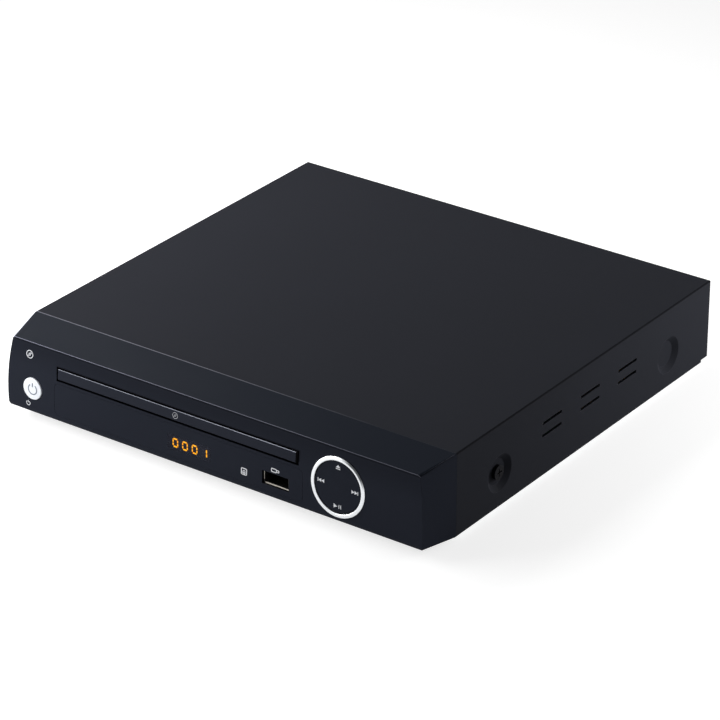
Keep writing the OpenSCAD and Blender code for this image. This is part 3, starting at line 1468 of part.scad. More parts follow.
module pickup_body() {
    body_y = [lens_y - 10.2, lens_y + pickup_back];
    rack_first = floor((-sled_travel - 3) / (PI * sled_m));
    rack_last = ceil(4 / (PI * sled_m));
    rack_back = sled_rack_x - 1.05 * sled_m - 1.2;
    color([0.55, 0.56, 0.57]) in_loader() difference() {
        union() {
            block([-16, body_y[0], rod_z - 4.5], [16, body_y[1], sled_rack_z + sled_rack_t]);
            // Bushes round the guide rods.
            for (s = [0, 1]) mirror([s, 0, 0])
                block([15, body_y[0] + 2, rod_z - 3], [rod_x + 3.4, body_y[0] + 24, rod_z + 3]);
            block([-11, lens_y - 8, sled_rack_z], [11, lens_y + 10, tray_top - 4.4]);
            // Arm and rack, which run above the plate.
            translate([15, body_y[0] + 1, sled_rack_z])
                cube([rack_back - 14.5, body_y[1] - body_y[0] - 2, sled_rack_t]);
            translate([sled_rack_x, sled_gear_pos[1], sled_rack_z]) linear_extrude(sled_rack_t)
                mirror([1, 0]) rack_shape(rack_first, rack_last, sled_m, 1.2);
        }
        for (s = [-1, 1]) translate([s * rod_x, 0, rod_z]) along_y(rod_r + turn_gap, body_y[0], body_y[1]);
        translate([0, lens_y, 0]) along_z(lens_r + 0.1, tray_top - 7, tray_top);
        // Hollow under the lens, for the light path.
        block([-8, lens_y - 4, rod_z - 6], [8, lens_y + 16, rod_z + 1]);
    }
}

// Lens in its round holder, which floats on wires that are too fine to show.
module objective_lens() {
    holder_top = tray_top - 4.2;
    color([0.55, 0.65, 0.85, 0.6]) in_loader() translate([0, lens_y, 0]) {
        along_z(lens_r, holder_top - 1.8, holder_top);
        intersection() {
            translate([0, 0, holder_top - 2]) sphere(r = lens_r - 0.1);
            along_z(lens_r - 0.7, holder_top - 0.1, holder_top + 2);
        }
    }
}

module sled_gear() {
    wheel_z = sled_rack_z + sled_rack_t + 0.1;
    color([0.85, 0.85, 0.82]) in_loader() at_place(sled_gear_pos) difference() {
        union() {
            rotate(180) translate([0, 0, sled_rack_z]) linear_extrude(sled_rack_t + 0.2)
                gear_shape(sled_rack_teeth, sled_m);
            rotate(90) translate([0, 0, wheel_z]) linear_extrude(1) gear_shape(sled_wheel_teeth, sled_m);
        }
        along_z(1.2 + turn_gap, sled_rack_z - 1, wheel_z + 3);
    }
}

module sled_pinion() {
    wheel_z = sled_rack_z + sled_rack_t + 0.1;
    color([0.8, 0.7, 0.35]) in_loader() at_place(sled_motor_pos) {
        rotate(270 + 180 / sled_pinion_teeth) translate([0, 0, wheel_z]) linear_extrude(1)
            gear_shape(sled_pinion_teeth, sled_m);
        along_z(0.75, plate_z - 7.5, wheel_z + tiny);
    }
}

// ---------- Nodes ----------

top_cover();
bottom_chassis();
rear_panel();
inlet_panel();
front_bezel();
display_window();
trim_ring();
rubber_feet();
cover_screws();
front_board();
display_module();
display_digits();
ir_receiver();
usb_shell();
usb_tongue();
key_switches();
main_board();
board_chips();
board_capacitors();
power_board();
transformer();
heat_sinks();
mains_inlet();
mains_pins();
av_board();
av_jack_block();
av_jack_shells();
av_jack_inserts();
hdmi_shell();
hdmi_tongue();
loader_frame();
clamp_bridge();
loader_screws();
board_screws();
loading_motor();
drive_belt();
panel_ribbon();
disc_tray();
tray_door();
drive_gear();
pulley_gear();
motor_pulley();
cam_slider();
traverse_plate();
guide_rods();
spindle_motor();
sled_motor();
turntable();
turntable_pad();
disc_clamper();
clamper_magnet();
pickup_body();
objective_lens();
sled_gear();
sled_pinion();
power_button();
nav_pad();
pad_gimbal();
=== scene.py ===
# %% [markdown]
# # Dressing a disc player
# They keep their shapes here. This script gives each of them a finish, adds what is printed on them, and
# then puts the player on a pale table under soft lamps. The order is: the frame, the helpers for
# finishes, the finishes in groups, the printed signs, the lamps and the camera.

import math

import bpy
import numpy as np
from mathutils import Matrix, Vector


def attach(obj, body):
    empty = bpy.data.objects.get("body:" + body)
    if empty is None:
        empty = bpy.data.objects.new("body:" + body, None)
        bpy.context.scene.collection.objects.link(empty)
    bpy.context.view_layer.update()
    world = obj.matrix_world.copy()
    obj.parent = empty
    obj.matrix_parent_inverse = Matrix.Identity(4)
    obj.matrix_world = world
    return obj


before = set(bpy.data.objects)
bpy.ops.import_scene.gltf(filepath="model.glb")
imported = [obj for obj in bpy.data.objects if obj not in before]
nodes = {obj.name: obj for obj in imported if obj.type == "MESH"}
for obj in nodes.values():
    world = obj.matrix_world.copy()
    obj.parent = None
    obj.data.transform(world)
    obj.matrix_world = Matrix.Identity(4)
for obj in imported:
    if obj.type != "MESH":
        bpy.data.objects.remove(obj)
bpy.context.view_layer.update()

# %% [markdown]
# ## Places on the player
# The front's places are measured from the joint between the steel case and the moulded bezel, so one
# value puts all of them at their place. MM turns millimetres into Blender's metres.

# %% Measures
MM = 0.001
JOINT_Y = -92.9995 * MM          # where the case ends and the bezel starts
CASE_Z = 3 * MM                  # the feet lift the case by this
BEZEL_LENGTH = 22 * MM
CASE_HALF = 112.5 * MM           # half the case's width
CASE_TOP = CASE_Z + 39 * MM
REAR_Y = JOINT_Y + 200.2 * MM    # outside of the rear panel
FACE_LOW, FACE_CURVE = 5, 500    # mm: the face stands out farthest at this height, and its square law
PAD = (68.0, 18.6)               # the control pad's middle on the face, mm
FLAT = 0.9                       # a surface that faces an axis by more than this counts as square to it


def face_y(z):
    """Where the bezel's face is, from the joint: 22 mm in front of it, less a shallow square law."""
    z = np.asarray(z, dtype=float) / MM
    return (-BEZEL_LENGTH / MM + (z - FACE_LOW) ** 2 / FACE_CURVE) * MM


print("face at its middle", round(float(face_y(19 * MM)) / MM, 2), "mm from the joint")

# %% [markdown]
# ## Shader maths as plain expressions
# A finish is a small network of nodes. Wired by hand it is hard to read, so a `Value` wraps one output of
# a node, and its operators add Math nodes: `1 - mask * 0.3` reads as it would on paper. A `Finish` owns
# the material, and its `node` method makes any other node.

# %% Value and Finish
class Value:
    """One output of a shader node, used in sums as if it were a number."""

    def __init__(self, finish, socket):
        self.finish = finish
        self.socket = socket

    def maths(self, operation, left, right):
        return self.finish.node("ShaderNodeMath", {"operation": operation}, {0: left, 1: right})

    def __add__(self, other):
        return self.maths("ADD", self, other)

    __radd__ = __add__

    def __sub__(self, other):
        return self.maths("SUBTRACT", self, other)

    def __rsub__(self, other):
        return self.maths("SUBTRACT", other, self)

    def __mul__(self, other):
        return self.maths("MULTIPLY", self, other)

    __rmul__ = __mul__

    def __abs__(self):
        return self.maths("ABSOLUTE", self, 0.0)

    def root(self):
        """Its square root."""
        return self.maths("SQRT", self, 0.0)

    def fraction(self):
        """What is left over a whole number, from 0 to 1."""
        return self.maths("FRACT", self, 0.0)

    def __gt__(self, other):
        return self.maths("GREATER_THAN", self, other)

    def __lt__(self, other):
        return self.maths("LESS_THAN", self, other)

    def between(self, low, high):
        """1 between two numbers and 0 outside them."""
        return (self > low) * (self < high)


FINISH_NAMES = set()


def tone(colour, times):
    """The colour made lighter or darker: each channel times one number."""
    return [c * times for c in colour]


class Finish:
    """A material whose Principled shader gets plain values on its own sockets, and links for what varies."""

    def __init__(self, name, **sockets):
        self.material = bpy.data.materials.new(name)
        FINISH_NAMES.add(self.material.name)
        self.material.use_nodes = True
        self.tree = self.material.node_tree
        self.shader = self.tree.nodes["Principled BSDF"]
        self.output = self.tree.nodes["Material Output"]
        for socket, value in sockets.items():
            self.set(self.shader.inputs[socket.replace("_", " ")], value)

    def set(self, socket, value):
        """Links a Value to the socket, or writes a plain number, colour or vector on it."""
        if isinstance(value, Value):
            self.tree.links.new(value.socket, socket)
        elif isinstance(value, (tuple, list)) and len(value) == 3 and socket.type == "RGBA":
            socket.default_value = (*value, 1)
        else:
            socket.default_value = value

    def node(self, kind, settings=None, sockets=None, out=0):
        """Makes a node: its settings first, then the values or links of its sockets. Gives one output."""
        node = self.tree.nodes.new(kind)
        for name, value in (settings or {}).items():
            setattr(node, name, value)
        for name, value in (sockets or {}).items():
            self.set(node.inputs[name], value)
        return Value(self, node.outputs[out])

    def to(self, socket, value):
        """Sends a value to a socket of the Principled shader."""
        self.set(self.shader.inputs[socket], value)

    def now(self, socket):
        """The value that a socket of the Principled shader gets now, to build on."""
        return Value(self, self.shader.inputs[socket].links[0].from_socket)

    def coated(self):
        """The Principled shader's own output, to mix with another shader."""
        return Value(self, self.shader.outputs[0])

    def place(self):
        """Object coordinates: the place on the player, in metres."""
        return self.node("ShaderNodeTexCoord", out="Object")

    def part(self, axis):
        """One of x, y and z of the place."""
        return self.node("ShaderNodeSeparateXYZ", None, {0: self.place()}, out=axis.upper())

    def facing(self, axis):
        """How far the true surface faces along x, y or z, from -1 to 1."""
        true = self.node("ShaderNodeNewGeometry", out="Normal")
        return self.node("ShaderNodeSeparateXYZ", None, {0: true}, out=axis.upper())

    def noise(self, size, detail=2.0, roughness=0.5, stretch=(1, 1, 1)):
        """Soft noise whose blobs are about size metres across, longer along an axis with stretch over 1."""
        scale = [1 / s for s in stretch]
        where = self.node("ShaderNodeMapping", None, {"Vector": self.place(), "Scale": scale})
        return self.node("ShaderNodeTexNoise", None,
                         {"Vector": where, "Scale": 1 / size, "Detail": detail, "Roughness": roughness})

    def spread(self, value, low, high, start=0.3, end=0.7):
        """Maps value from start..end onto low..high and holds it there."""
        return self.node("ShaderNodeMapRange", None,
                         {"Value": value, "From Min": start, "From Max": end, "To Min": low, "To Max": high})

    def blend(self, factor, first, second):
        """A colour between first at factor 0 and second at factor 1."""
        return self.node("ShaderNodeMix", {"data_type": "RGBA"}, {0: factor, 6: first, 7: second}, out=2)

    def rounded(self, radius):
        """The normal as if every sharp edge had been rounded to this radius."""
        return self.node("ShaderNodeBevel", {"samples": 6}, {"Radius": radius})

    def edges(self, radius):
        """1 on edges and 0 on flats: how far the rounded normal turns away from the true one."""
        true = self.node("ShaderNodeNewGeometry", out="Normal")
        same = self.node("ShaderNodeVectorMath", {"operation": "DOT_PRODUCT"},
                         {0: self.rounded(radius), 1: true}, out="Value")
        return self.spread(same, 1, 0, 0.8, 0.995)

    def relief(self, height, depth, normal=None):
        """A normal tilted by a height field; depth is what height 1 stands for, in metres."""
        sockets = {"Height": height, "Distance": depth, "Strength": 1.0}
        if normal is not None:
            sockets["Normal"] = normal
        return self.node("ShaderNodeBump", None, sockets, out="Normal")

    def dress(self, *names):
        """Puts this finish on CAD nodes."""
        for name in names:
            mesh = nodes[name].data
            mesh.materials.clear()
            mesh.materials.append(self.material)

    def dress_faces(self, name, rule):
        """Puts this finish on the faces of a CAD node that rule(centres, normals, areas) picks, in mm."""
        mesh = nodes[name].data
        count = len(mesh.polygons)
        centres, normals, areas = np.empty(count * 3), np.empty(count * 3), np.empty(count)
        indices = np.empty(count, dtype=np.int32)
        mesh.polygons.foreach_get("center", centres)
        mesh.polygons.foreach_get("normal", normals)
        mesh.polygons.foreach_get("area", areas)
        mesh.polygons.foreach_get("material_index", indices)
        mesh.materials.append(self.material)
        chosen = rule(centres.reshape(-1, 3) / MM, normals.reshape(-1, 3), areas / MM ** 2)
        indices[chosen] = len(mesh.materials) - 1
        mesh.polygons.foreach_set("material_index", indices)
        mesh.update()
        print(name, "faces in", self.material.name, int(chosen.sum()), "of", count)


print("helpers ready")

# %% [markdown]
# ## Painted steel
# The cover is one sheet of steel, folded and then powder coated in a slate black. The coat is satin and has
# a very fine orange-peel texture. A noise of about 0.3 mm gives the texture, a slow noise of some
# centimetres keeps the gloss from being even, and long thin noise stands for the marks of wiping. Where the
# sheet is cut, its edge catches the light, and a painted highlight makes it paler. Where the cover meets
# the bezel, a painted highlight lies along it as one thin line, which fades from left to right. The folds
# beside the top and at the rear corners turn away from the light, and painted shade makes them dark lines.

# %% Cover and rear panel
EDGE = 0.35 * MM                 # the coat rounds every edge to this radius
FOLD, FOLD_SHADE = 0.60 * MM, 0.45             # width of a long fold, and how dark the painted shade in it is
REAR_FOLD = 0.42 * MM            # width of a fold at a rear corner
SHEET_END = 0.50 * MM            # width of the painted highlight where the cover ends at the bezel
EDGE_SHEEN_FROM = JOINT_Y + 2 * MM     # the painted highlight on cut edges lies behind this place
COVER_END_Y = JOINT_Y + 208.8 * MM
SHINE_FADES = (-35 * MM, 75 * MM)             # the painted highlight fades out between these places
SHEET_SHEEN = (0.170, 0.173, 0.205)


def painted_steel(name, colour, edge_sheen, roughness, specular, peel=0.28 * MM):
    """Powder coat: slow colour and gloss change, peel texture, wiping marks, painted edge highlights, painted
    fold shade.
    """
    coat = Finish(name, Specular_IOR_Level=specular)
    slow = coat.noise(60 * MM, 3)
    fine = coat.noise(peel, 2, 0.6)
    wiped = coat.noise(1.2 * MM, 2, 0.5, (40, 1.5, 1))
    x, along, z = coat.part("x"), coat.part("y"), coat.part("z")
    fold_shade_mask = (abs(x) > CASE_HALF - FOLD) * ((z > CASE_TOP - FOLD) + (along > COVER_END_Y - REAR_FOLD))
    shade = coat.blend(coat.spread(slow, 0, 1), tone(colour, 0.98), tone(colour, 1.04))
    # painted highlight on the cut edges of the sheet
    shade = coat.blend(coat.edges(EDGE) * 0.6 * (along > EDGE_SHEEN_FROM), shade, edge_sheen)
    # painted highlight along the cover's edge at the bezel
    sheet_end_sheen = (along < JOINT_Y + SHEET_END) * (coat.facing("z") > FLAT)
    shade = coat.blend(sheet_end_sheen * coat.spread(x, 1, 0, *SHINE_FADES), shade, SHEET_SHEEN)
    # painted shade in the folds
    coat.to("Base Color", coat.blend(fold_shade_mask, shade, tone(colour, FOLD_SHADE)))
    coat.to("Roughness", coat.spread(slow, roughness - 0.02, roughness + 0.03) + fine * 0.05 + wiped * 0.04)
    coat.to("Normal", coat.relief(fine, 0.010 * MM, coat.rounded(EDGE)))
    return coat


SLATE = (0.0219, 0.0231, 0.0287)
painted_steel("cover_paint", SLATE, (0.10, 0.10, 0.12), 0.44, 0.006).dress("top_cover")
painted_steel("panel_paint", SLATE, (0.07, 0.07, 0.08), 0.5, 0.02).dress("rear_panel", "inlet_panel")
print("painted:", "top_cover", "rear_panel", "inlet_panel")

# %% [markdown]
# ## Moulded black plastic
# The bezel, the tray's door and the control pad come from one tool finish: a spark-eroded mould leaves a
# fine even grain, and the plastic itself is satin with a blue cast. The grain is a noise of 0.16 mm, far
# too fine to model, so it goes into the bump. The gaps round the door, the window and the controls are
# deep and narrow, and hardly any light comes out of them, so painted shade makes the plastic nearly black
# from half a millimetre behind the face. The face is curved, so the depth is counted from its own curve.

# %% Gaps in the face
GAP_START, GAP_DARK = 0.2 * MM, 0.5 * MM      # where painted shade in a gap starts, and where it is darkest
# painted shade for the gaps and recesses
GAP_SHADE = (0.0012, 0.0012, 0.0016)
OPENINGS_Z = (CASE_Z + 4 * MM, CASE_Z + 33 * MM)
OPENINGS_HALF = 103 * MM
TIGHT_X, TIGHT_HALF = 50 * MM, 0.9 * MM       # the window's right end fits without a visible gap


def face_depth(plastic):
    """How far a place lies behind the bezel's curved face, in metres."""
    lean = plastic.part("z") - (CASE_Z + FACE_LOW * MM)
    return plastic.part("y") + (BEZEL_LENGTH - JOINT_Y) - lean * lean * (1 / (FACE_CURVE * MM))


def behind_face(plastic):
    """1 where a place lies deeper than the face, in the part of the front that has openings."""
    x, z = plastic.part("x"), plastic.part("z")
    openings = z.between(*OPENINGS_Z) * (abs(x) < OPENINGS_HALF) * (abs(x - TIGHT_X) > TIGHT_HALF)
    return plastic.spread(face_depth(plastic), 0, 1, GAP_START, GAP_DARK) * openings


print("gaps are dark from", round(GAP_DARK / MM, 2), "mm behind the face")

# %% [markdown]
# The front gets painted light and shade of its own. The crease under the brow has a painted highlight, a
# thin line brightest at the left, with a painted dark line of shade just below it. Painted shade makes the
# brow and the upper part of the face darker than the rest, and the rim of the slot too, and painted light
# makes the right end paler. Each tapered end has two flats that meet at a small angle, and one common
# normal lets them shade as one.

# %% Shades of the front
BEZEL_BLACK = (0.0193, 0.0219, 0.0309)
# painted shade of the brow
BROW_SHADE = (0.0112, 0.0138, 0.0204)
BROW_SHEEN = ((0.285, 0.295, 0.375), (0.128, 0.132, 0.165))      # painted highlight of the crease, left and right
CREASE_ENDS = (-110 * MM, 100 * MM)
BROW_Z = CASE_Z + 34 * MM        # only the brow and its crease lie higher
UPPER_Z = (CASE_Z + 24 * MM, CASE_Z + 33 * MM)                   # painted shade darkens the face between these
RIM_X, RIM_Z = (-83.4 * MM, 48.4 * MM), (CASE_Z + 24 * MM, CASE_Z + 29.25 * MM)      # painted shade round the slot
CREASE_TOP, CREASE_FOOT = 0.55, 0.2           # how far the crease faces up at its painted highlight, and at its painted dark foot
END_X, END_TURN = 100 * MM, 0.4  # the ends lie farther out than this and face sideways by more than this
ONE_FLAT_Y = -0.3                # the y part of the ends' common normal
# how dark the painted shade of the upper face, the crease's foot and the slot's rim is, and the right end's
# painted light
UPPER_SHADE, FOOT_SHADE, END_LIGHT, RIM_SHADE = 0.84, 0.55, 1.4, 0.4


def front_shade(plastic, shade, smooth, colour):
    """Adds the front's painted light and shade to a colour and the ends' common normal to a normal; gives
    both back.
    """
    x, z, upward = plastic.part("x"), plastic.part("z"), plastic.facing("z")
    high = z > BROW_Z
    # painted shade on the upper face and the brow
    shade = plastic.blend(plastic.spread(z, 0, 1, *UPPER_Z), shade, tone(colour, UPPER_SHADE))
    shade = plastic.blend((upward > FLAT) * high, shade, BROW_SHADE)
    # painted highlight on the crease, and painted shade at its foot
    crease_sheen = plastic.blend(plastic.spread(x, 0, 1, *CREASE_ENDS), *BROW_SHEEN)
    shade = plastic.blend(upward.between(CREASE_TOP, FLAT) * high, shade, crease_sheen)
    shade = plastic.blend(upward.between(CREASE_FOOT, CREASE_TOP) * high, shade, tone(colour, FOOT_SHADE))
    # painted shade round the slot
    rim = x.between(*RIM_X) * z.between(*RIM_Z) * (upward < CREASE_FOOT)
    shade = plastic.blend(rim * RIM_SHADE, shade, GAP_SHADE)
    sideways = plastic.facing("x") * (abs(x) > END_X)
    end = abs(sideways) > END_TURN
    # painted light on the right end of the bezel
    shade = plastic.blend(end * (x > 0), shade, tone(colour, END_LIGHT))
    one_flat = plastic.node("ShaderNodeCombineXYZ", None, {0: sideways, 1: ONE_FLAT_Y, 2: 0.0})
    smooth = plastic.node("ShaderNodeMix", {"data_type": "VECTOR"}, {0: end, 4: smooth, 5: one_flat}, out=1)
    # painted shade in the gaps
    return plastic.blend(behind_face(plastic), shade, GAP_SHADE), smooth


def moulding(name, colour, roughness, specular, grain=0.16 * MM, depth=0.006 * MM, edge=0.3 * MM, lift=1.8,
             on_front=False):
    """Moulded plastic: an even eroded grain, a slow change of gloss, edges polished by handling, and painted
    light.
    """
    plastic = Finish(name, Specular_IOR_Level=specular)
    slow = plastic.noise(35 * MM, 3)
    fine = plastic.noise(grain, 1.5, 0.7)
    worn_and_sheen = plastic.edges(edge)
    shade = plastic.blend(plastic.spread(slow, 0, 1), colour, tone(colour, 1.06))
    smooth = plastic.rounded(edge)
    if on_front:
        shade, smooth = front_shade(plastic, shade, smooth, colour)
    else:
        # painted highlight on the edges, paler by lift
        shade = plastic.blend(worn_and_sheen * 0.5, shade, tone(colour, lift))
    plastic.to("Base Color", shade)
    dull = plastic.spread(slow, roughness - 0.03, roughness + 0.04) + fine * 0.05 - worn_and_sheen * 0.06
    plastic.to("Roughness", dull)
    plastic.to("Normal", plastic.relief(fine, depth, smooth))
    return plastic


moulding("bezel_plastic", BEZEL_BLACK, 0.36, 0.012, on_front=True).dress("front_bezel", "nav_pad")
print("dressed:", "front_bezel", "nav_pad")

# %% [markdown]
# The tray's door is a little paler than the bezel. Its upper edge has a chamfer, whose front gets a painted
# highlight from end to end while painted shade darkens its rear, deep in the gap. Painted shade also darkens
# the last millimetre at its right end, so the gap there looks wide.

# %% Tray door
DOOR_BLACK = (0.0236, 0.0263, 0.0362)
DOOR_SHEEN = ((0.42, 0.44, 0.52), (0.62, 0.65, 0.77))            # painted highlight of the chamfer, left and right
DOOR_ENDS = (-80 * MM, 45 * MM)
DOOR_SHADE_X = 46.0 * MM          # painted shade darkens the door from here to its right end
CHAMFER_UP = (0.4, FLAT)         # how far the chamfer faces up
CHAMFER_SHINES = 0.19 * MM       # how deep behind the face its painted highlight reaches
door_plastic = moulding("door_plastic", DOOR_BLACK, 0.34, 0.012)
chamfer = door_plastic.facing("z").between(*CHAMFER_UP)
# painted highlight on the chamfer
sheen = door_plastic.blend(door_plastic.spread(door_plastic.part("x"), 0, 1, *DOOR_ENDS), *DOOR_SHEEN)
# painted shade on the chamfer's rear, deep in the gap
sheen = door_plastic.blend(face_depth(door_plastic) < CHAMFER_SHINES, GAP_SHADE, sheen)
door_sheen_and_shade = door_plastic.blend(chamfer, door_plastic.now("Base Color"), sheen)
# painted shade on the door's right end
door_sheen_and_shade = door_plastic.blend(door_plastic.part("x") > DOOR_SHADE_X, door_sheen_and_shade, GAP_SHADE)
# painted shade in the gaps
door_plastic.to("Base Color", door_plastic.blend(behind_face(door_plastic), door_sheen_and_shade, GAP_SHADE))
door_plastic.dress("tray_door")
print("dressed:", "tray_door")

# %% [markdown]
# Inside, the plastics and rubbers differ mostly in their colour, gloss and grain, so one function with
# other values makes them all.

# %% Plastics and rubbers inside
moulding("tray_plastic", (0.020, 0.020, 0.023), 0.42, 0.15, 0.3 * MM, 0.01 * MM).dress("disc_tray")
moulding("dark_moulding", (0.018, 0.018, 0.019), 0.45, 0.2, 0.3 * MM, 0.01 * MM).dress(
    "loader_frame", "clamp_bridge", "av_jack_block", "mains_inlet", "usb_tongue", "hdmi_tongue",
    "key_switches")
moulding("gear_plastic", (0.62, 0.60, 0.55), 0.34, 0.5, 0.4 * MM, 0.004 * MM, lift=1.2).dress(
    "drive_gear", "pulley_gear", "motor_pulley", "cam_slider", "turntable", "disc_clamper", "sled_gear",
    "pad_gimbal")
moulding("foot_rubber", (0.02, 0.02, 0.02), 0.78, 0.3, 0.5 * MM, 0.02 * MM).dress("rubber_feet")
moulding("pad_rubber", (0.03, 0.03, 0.032), 0.7, 0.3, 0.4 * MM, 0.02 * MM).dress("turntable_pad")
moulding("belt_rubber", (0.012, 0.012, 0.012), 0.6, 0.35, 0.3 * MM, 0.01 * MM).dress("drive_belt")
moulding("magnet", (0.05, 0.05, 0.055), 0.5, 0.5, 0.3 * MM, 0.01 * MM).dress("clamper_magnet")
print("moulded pieces dressed")

# %% [markdown]
# ## Silver pieces
# The ring is plated plastic and shines like metal. The power button is sprayed with a pale silver lacquer,
# and a clear coat goes over it. Tiny flakes lie in both, so a fine noise shifts the colour a little. One
# finish serves both: it turns from lacquer to plating on the way from the button to the ring. At its upper
# right the ring's outer slope gets a painted dark reflection of the room.

# %% Ring and button
CORNER = math.radians(48)        # the painted dark reflection on the ring's outer slope lies towards this direction
CORNER_SPAN, CORNER_SOFT = 0.80, 2.2 * MM     # cosine of half that painted reflection's angle, and its soft edge
OUTER_SLOPE = (12.7 * MM, 13.2 * MM)          # the slope starts between these radii
silver = Finish("silver_plastic", Specular_IOR_Level=0.5, Coat_Weight=0.2, Coat_Roughness=0.12)
flake = silver.noise(0.08 * MM, 1)
cloud = silver.noise(8 * MM, 2)
plated = silver.part("x") > 0.0
flakes = silver.spread(flake, 0, 1)
lacquer = silver.blend(flakes, (0.78, 0.815, 0.87), (0.88, 0.91, 0.955))
plating = silver.blend(flakes, (0.73, 0.75, 0.775), (0.79, 0.81, 0.84))
ring_x, ring_z = silver.part("x") - PAD[0] * MM, silver.part("z") - (CASE_Z + PAD[1] * MM)
reach = (ring_x * ring_x + ring_z * ring_z).root()
to_corner = ring_x * math.cos(CORNER) + ring_z * math.sin(CORNER)
dark_reflection = (silver.spread(to_corner - reach * CORNER_SPAN, 0, 1, 0, CORNER_SOFT)
          * silver.spread(reach, 0, 1, *OUTER_SLOPE))
# painted dark reflection on the ring's outer slope
plating = silver.blend(dark_reflection, plating, (0.07, 0.075, 0.08))
silver.to("Base Color", silver.blend(plated, lacquer, plating))
silver.to("Metallic", silver.spread(plated, 0.15, 0.92, 0, 1))
silver.to("Roughness", silver.spread(cloud, 0.26, 0.34) - plated * 0.06)
silver.to("Normal", silver.relief(flake, 0.002 * MM, silver.rounded(0.25 * MM)))
silver.dress("trim_ring", "power_button")
print("silver:", "trim_ring", "power_button")

# %% [markdown]
# ## Display window
# The window is one moulding of smoked plastic, printed black behind all but the place of the figures, so
# it looks like the bezel round it. Only a rectangle in front of the display lets its light through. The
# display's own front has a faint painted glow, which stands in for the light on it and makes the rectangle
# vanish while the figures are dark.

# %% Window and display
SOFT = 1.6 * MM                  # the print fades out over this width
CLEAR_X, CLEAR_Z = (-22.2 * MM, 2.0 * MM), (CASE_Z + 8.6 * MM, CASE_Z + 16.6 * MM)
CLEAR_SHARE = 0.8                # how much of the light the clear rectangle lets through
BARE_X, BARE_Z = (-27.5 * MM, 5.5 * MM), (CASE_Z + 6.2 * MM, CASE_Z + 18.6 * MM)    # no print behind this


def soft_within(finish, axis, low, high):
    """1 between two places along an axis, fading to 0 just inside them."""
    place = finish.part(axis)
    return finish.spread(place, 0, 1, low, low + SOFT) * finish.spread(place, 1, 0, high - SOFT, high)


window = moulding("window_smoke", BEZEL_BLACK, 0.33, 0.012, on_front=True)
clear = soft_within(window, "x", *CLEAR_X) * soft_within(window, "z", *CLEAR_Z)
glass = window.node("ShaderNodeBsdfTransparent", None, {"Color": (0.86, 0.85, 0.85)})
deep = behind_face(window)
bare_back = window.part("x").between(*BARE_X) * window.part("z").between(*BARE_Z)
window.set(window.output.inputs["Surface"], window.node("ShaderNodeMixShader", None, {
    0: clear * CLEAR_SHARE * (1 - deep) + deep * bare_back, 1: window.coated(), 2: glass}))
window.dress("display_window")
display_red = moulding("display_red", tone(BEZEL_BLACK, 0.8), 0.5, 0.012)
# a faint painted glow on the display's front
display_red.to("Emission Color", display_red.blend(display_red.noise(4 * MM, 1), (0.0262, 0.0278, 0.0378),
                                                   (0.0275, 0.0285, 0.0392)))
display_red.to("Emission Strength", 1.0)
display_red.dress("display_module")
print("dressed:", "display_window", "display_module")

# %% [markdown]
# The figures are lit bars behind a mask, so each figure has dark breaks where two bars meet: one in its
# middle and one at each corner. The last figure is a plain 1 and has no corners.

# %% Figures
FIGURE_PITCH, FIGURE_FIRST, FIGURE_LOW = 5.2 * MM, -18.8 * MM, CASE_Z + 9.3 * MM
LAST_FIGURE = FIGURE_FIRST + 2.5 * FIGURE_PITCH
BAR_X = 0.9 * MM                 # the breaks lie farther than this from a figure's middle
FOOT, MIDDLE, HEAD = 0.62 * MM, 2.1 * MM, 3.58 * MM            # heights at which bars meet
CORNER_HALF, MIDDLE_HALF = 0.16 * MM, 0.22 * MM                # half the height of a break there
digit = Finish("digit_light", Roughness=0.4, Emission_Strength=2.3)
glow = digit.noise(1.2 * MM, 1)
steps = (digit.part("x") - (FIGURE_FIRST - FIGURE_PITCH / 2)) * (1 / FIGURE_PITCH)
from_middle = abs(steps.fraction() - 0.5) * FIGURE_PITCH
height = digit.part("z") - FIGURE_LOW
corners = (abs(height - FOOT) < CORNER_HALF) + (abs(height - HEAD) < CORNER_HALF)
breaks = corners * (digit.part("x") < LAST_FIGURE) + (abs(height - MIDDLE) < MIDDLE_HALF)
orange = digit.blend(digit.spread(glow, 0, 1), (1.0, 0.36, 0.0), (1.0, 0.46, 0.01))
digit.to("Base Color", (0.1, 0.03, 0.01))
digit.to("Emission Color", digit.blend(breaks * (from_middle > BAR_X), orange, (0.012, 0.008, 0.008)))
digit.dress("display_digits")
print("dressed:", "display_digits")

# %% [markdown]
# ## Metals
# Zinc-plated sheet shows pale crystals, so it gets a cell pattern. Turned and stamped pieces have fine
# lines in one direction, which a stretched noise gives. The shade and the gloss change together there.

# %% Plated and turned pieces
def metal(name, colour, roughness, size=0.4 * MM, stretch=(1, 1, 1), depth=0.002 * MM, edge=0.15 * MM):
    """Bare metal: fine marks that shift its colour, its gloss and its normal together."""
    bare = Finish(name, Metallic=1.0)
    marks = bare.noise(size, 3, 0.6, stretch)
    dull = bare.noise(12 * MM, 2)
    bare.to("Base Color", bare.blend(bare.spread(marks, 0, 1), tone(colour, 0.86), colour))
    bare.to("Roughness", bare.spread(dull, roughness - 0.05, roughness + 0.07) + marks * 0.06)
    bare.to("Normal", bare.relief(marks, depth, bare.rounded(edge)))
    return bare


zinc = Finish("zinc_steel", Metallic=1.0)
cells = zinc.node("ShaderNodeTexVoronoi", None, {"Vector": zinc.place(), "Scale": 1 / (6 * MM)}, out="Color")
grey = zinc.node("ShaderNodeSeparateColor", None, {0: cells}, out=0)
zinc.to("Base Color", zinc.blend(grey, (0.50, 0.51, 0.52), (0.62, 0.63, 0.64)))
zinc.to("Roughness", zinc.spread(grey, 0.34, 0.46, 0, 1))
zinc.to("Normal", zinc.relief(zinc.noise(0.5 * MM, 3), 0.004 * MM, zinc.rounded(0.15 * MM)))
zinc.dress("bottom_chassis", "traverse_plate")

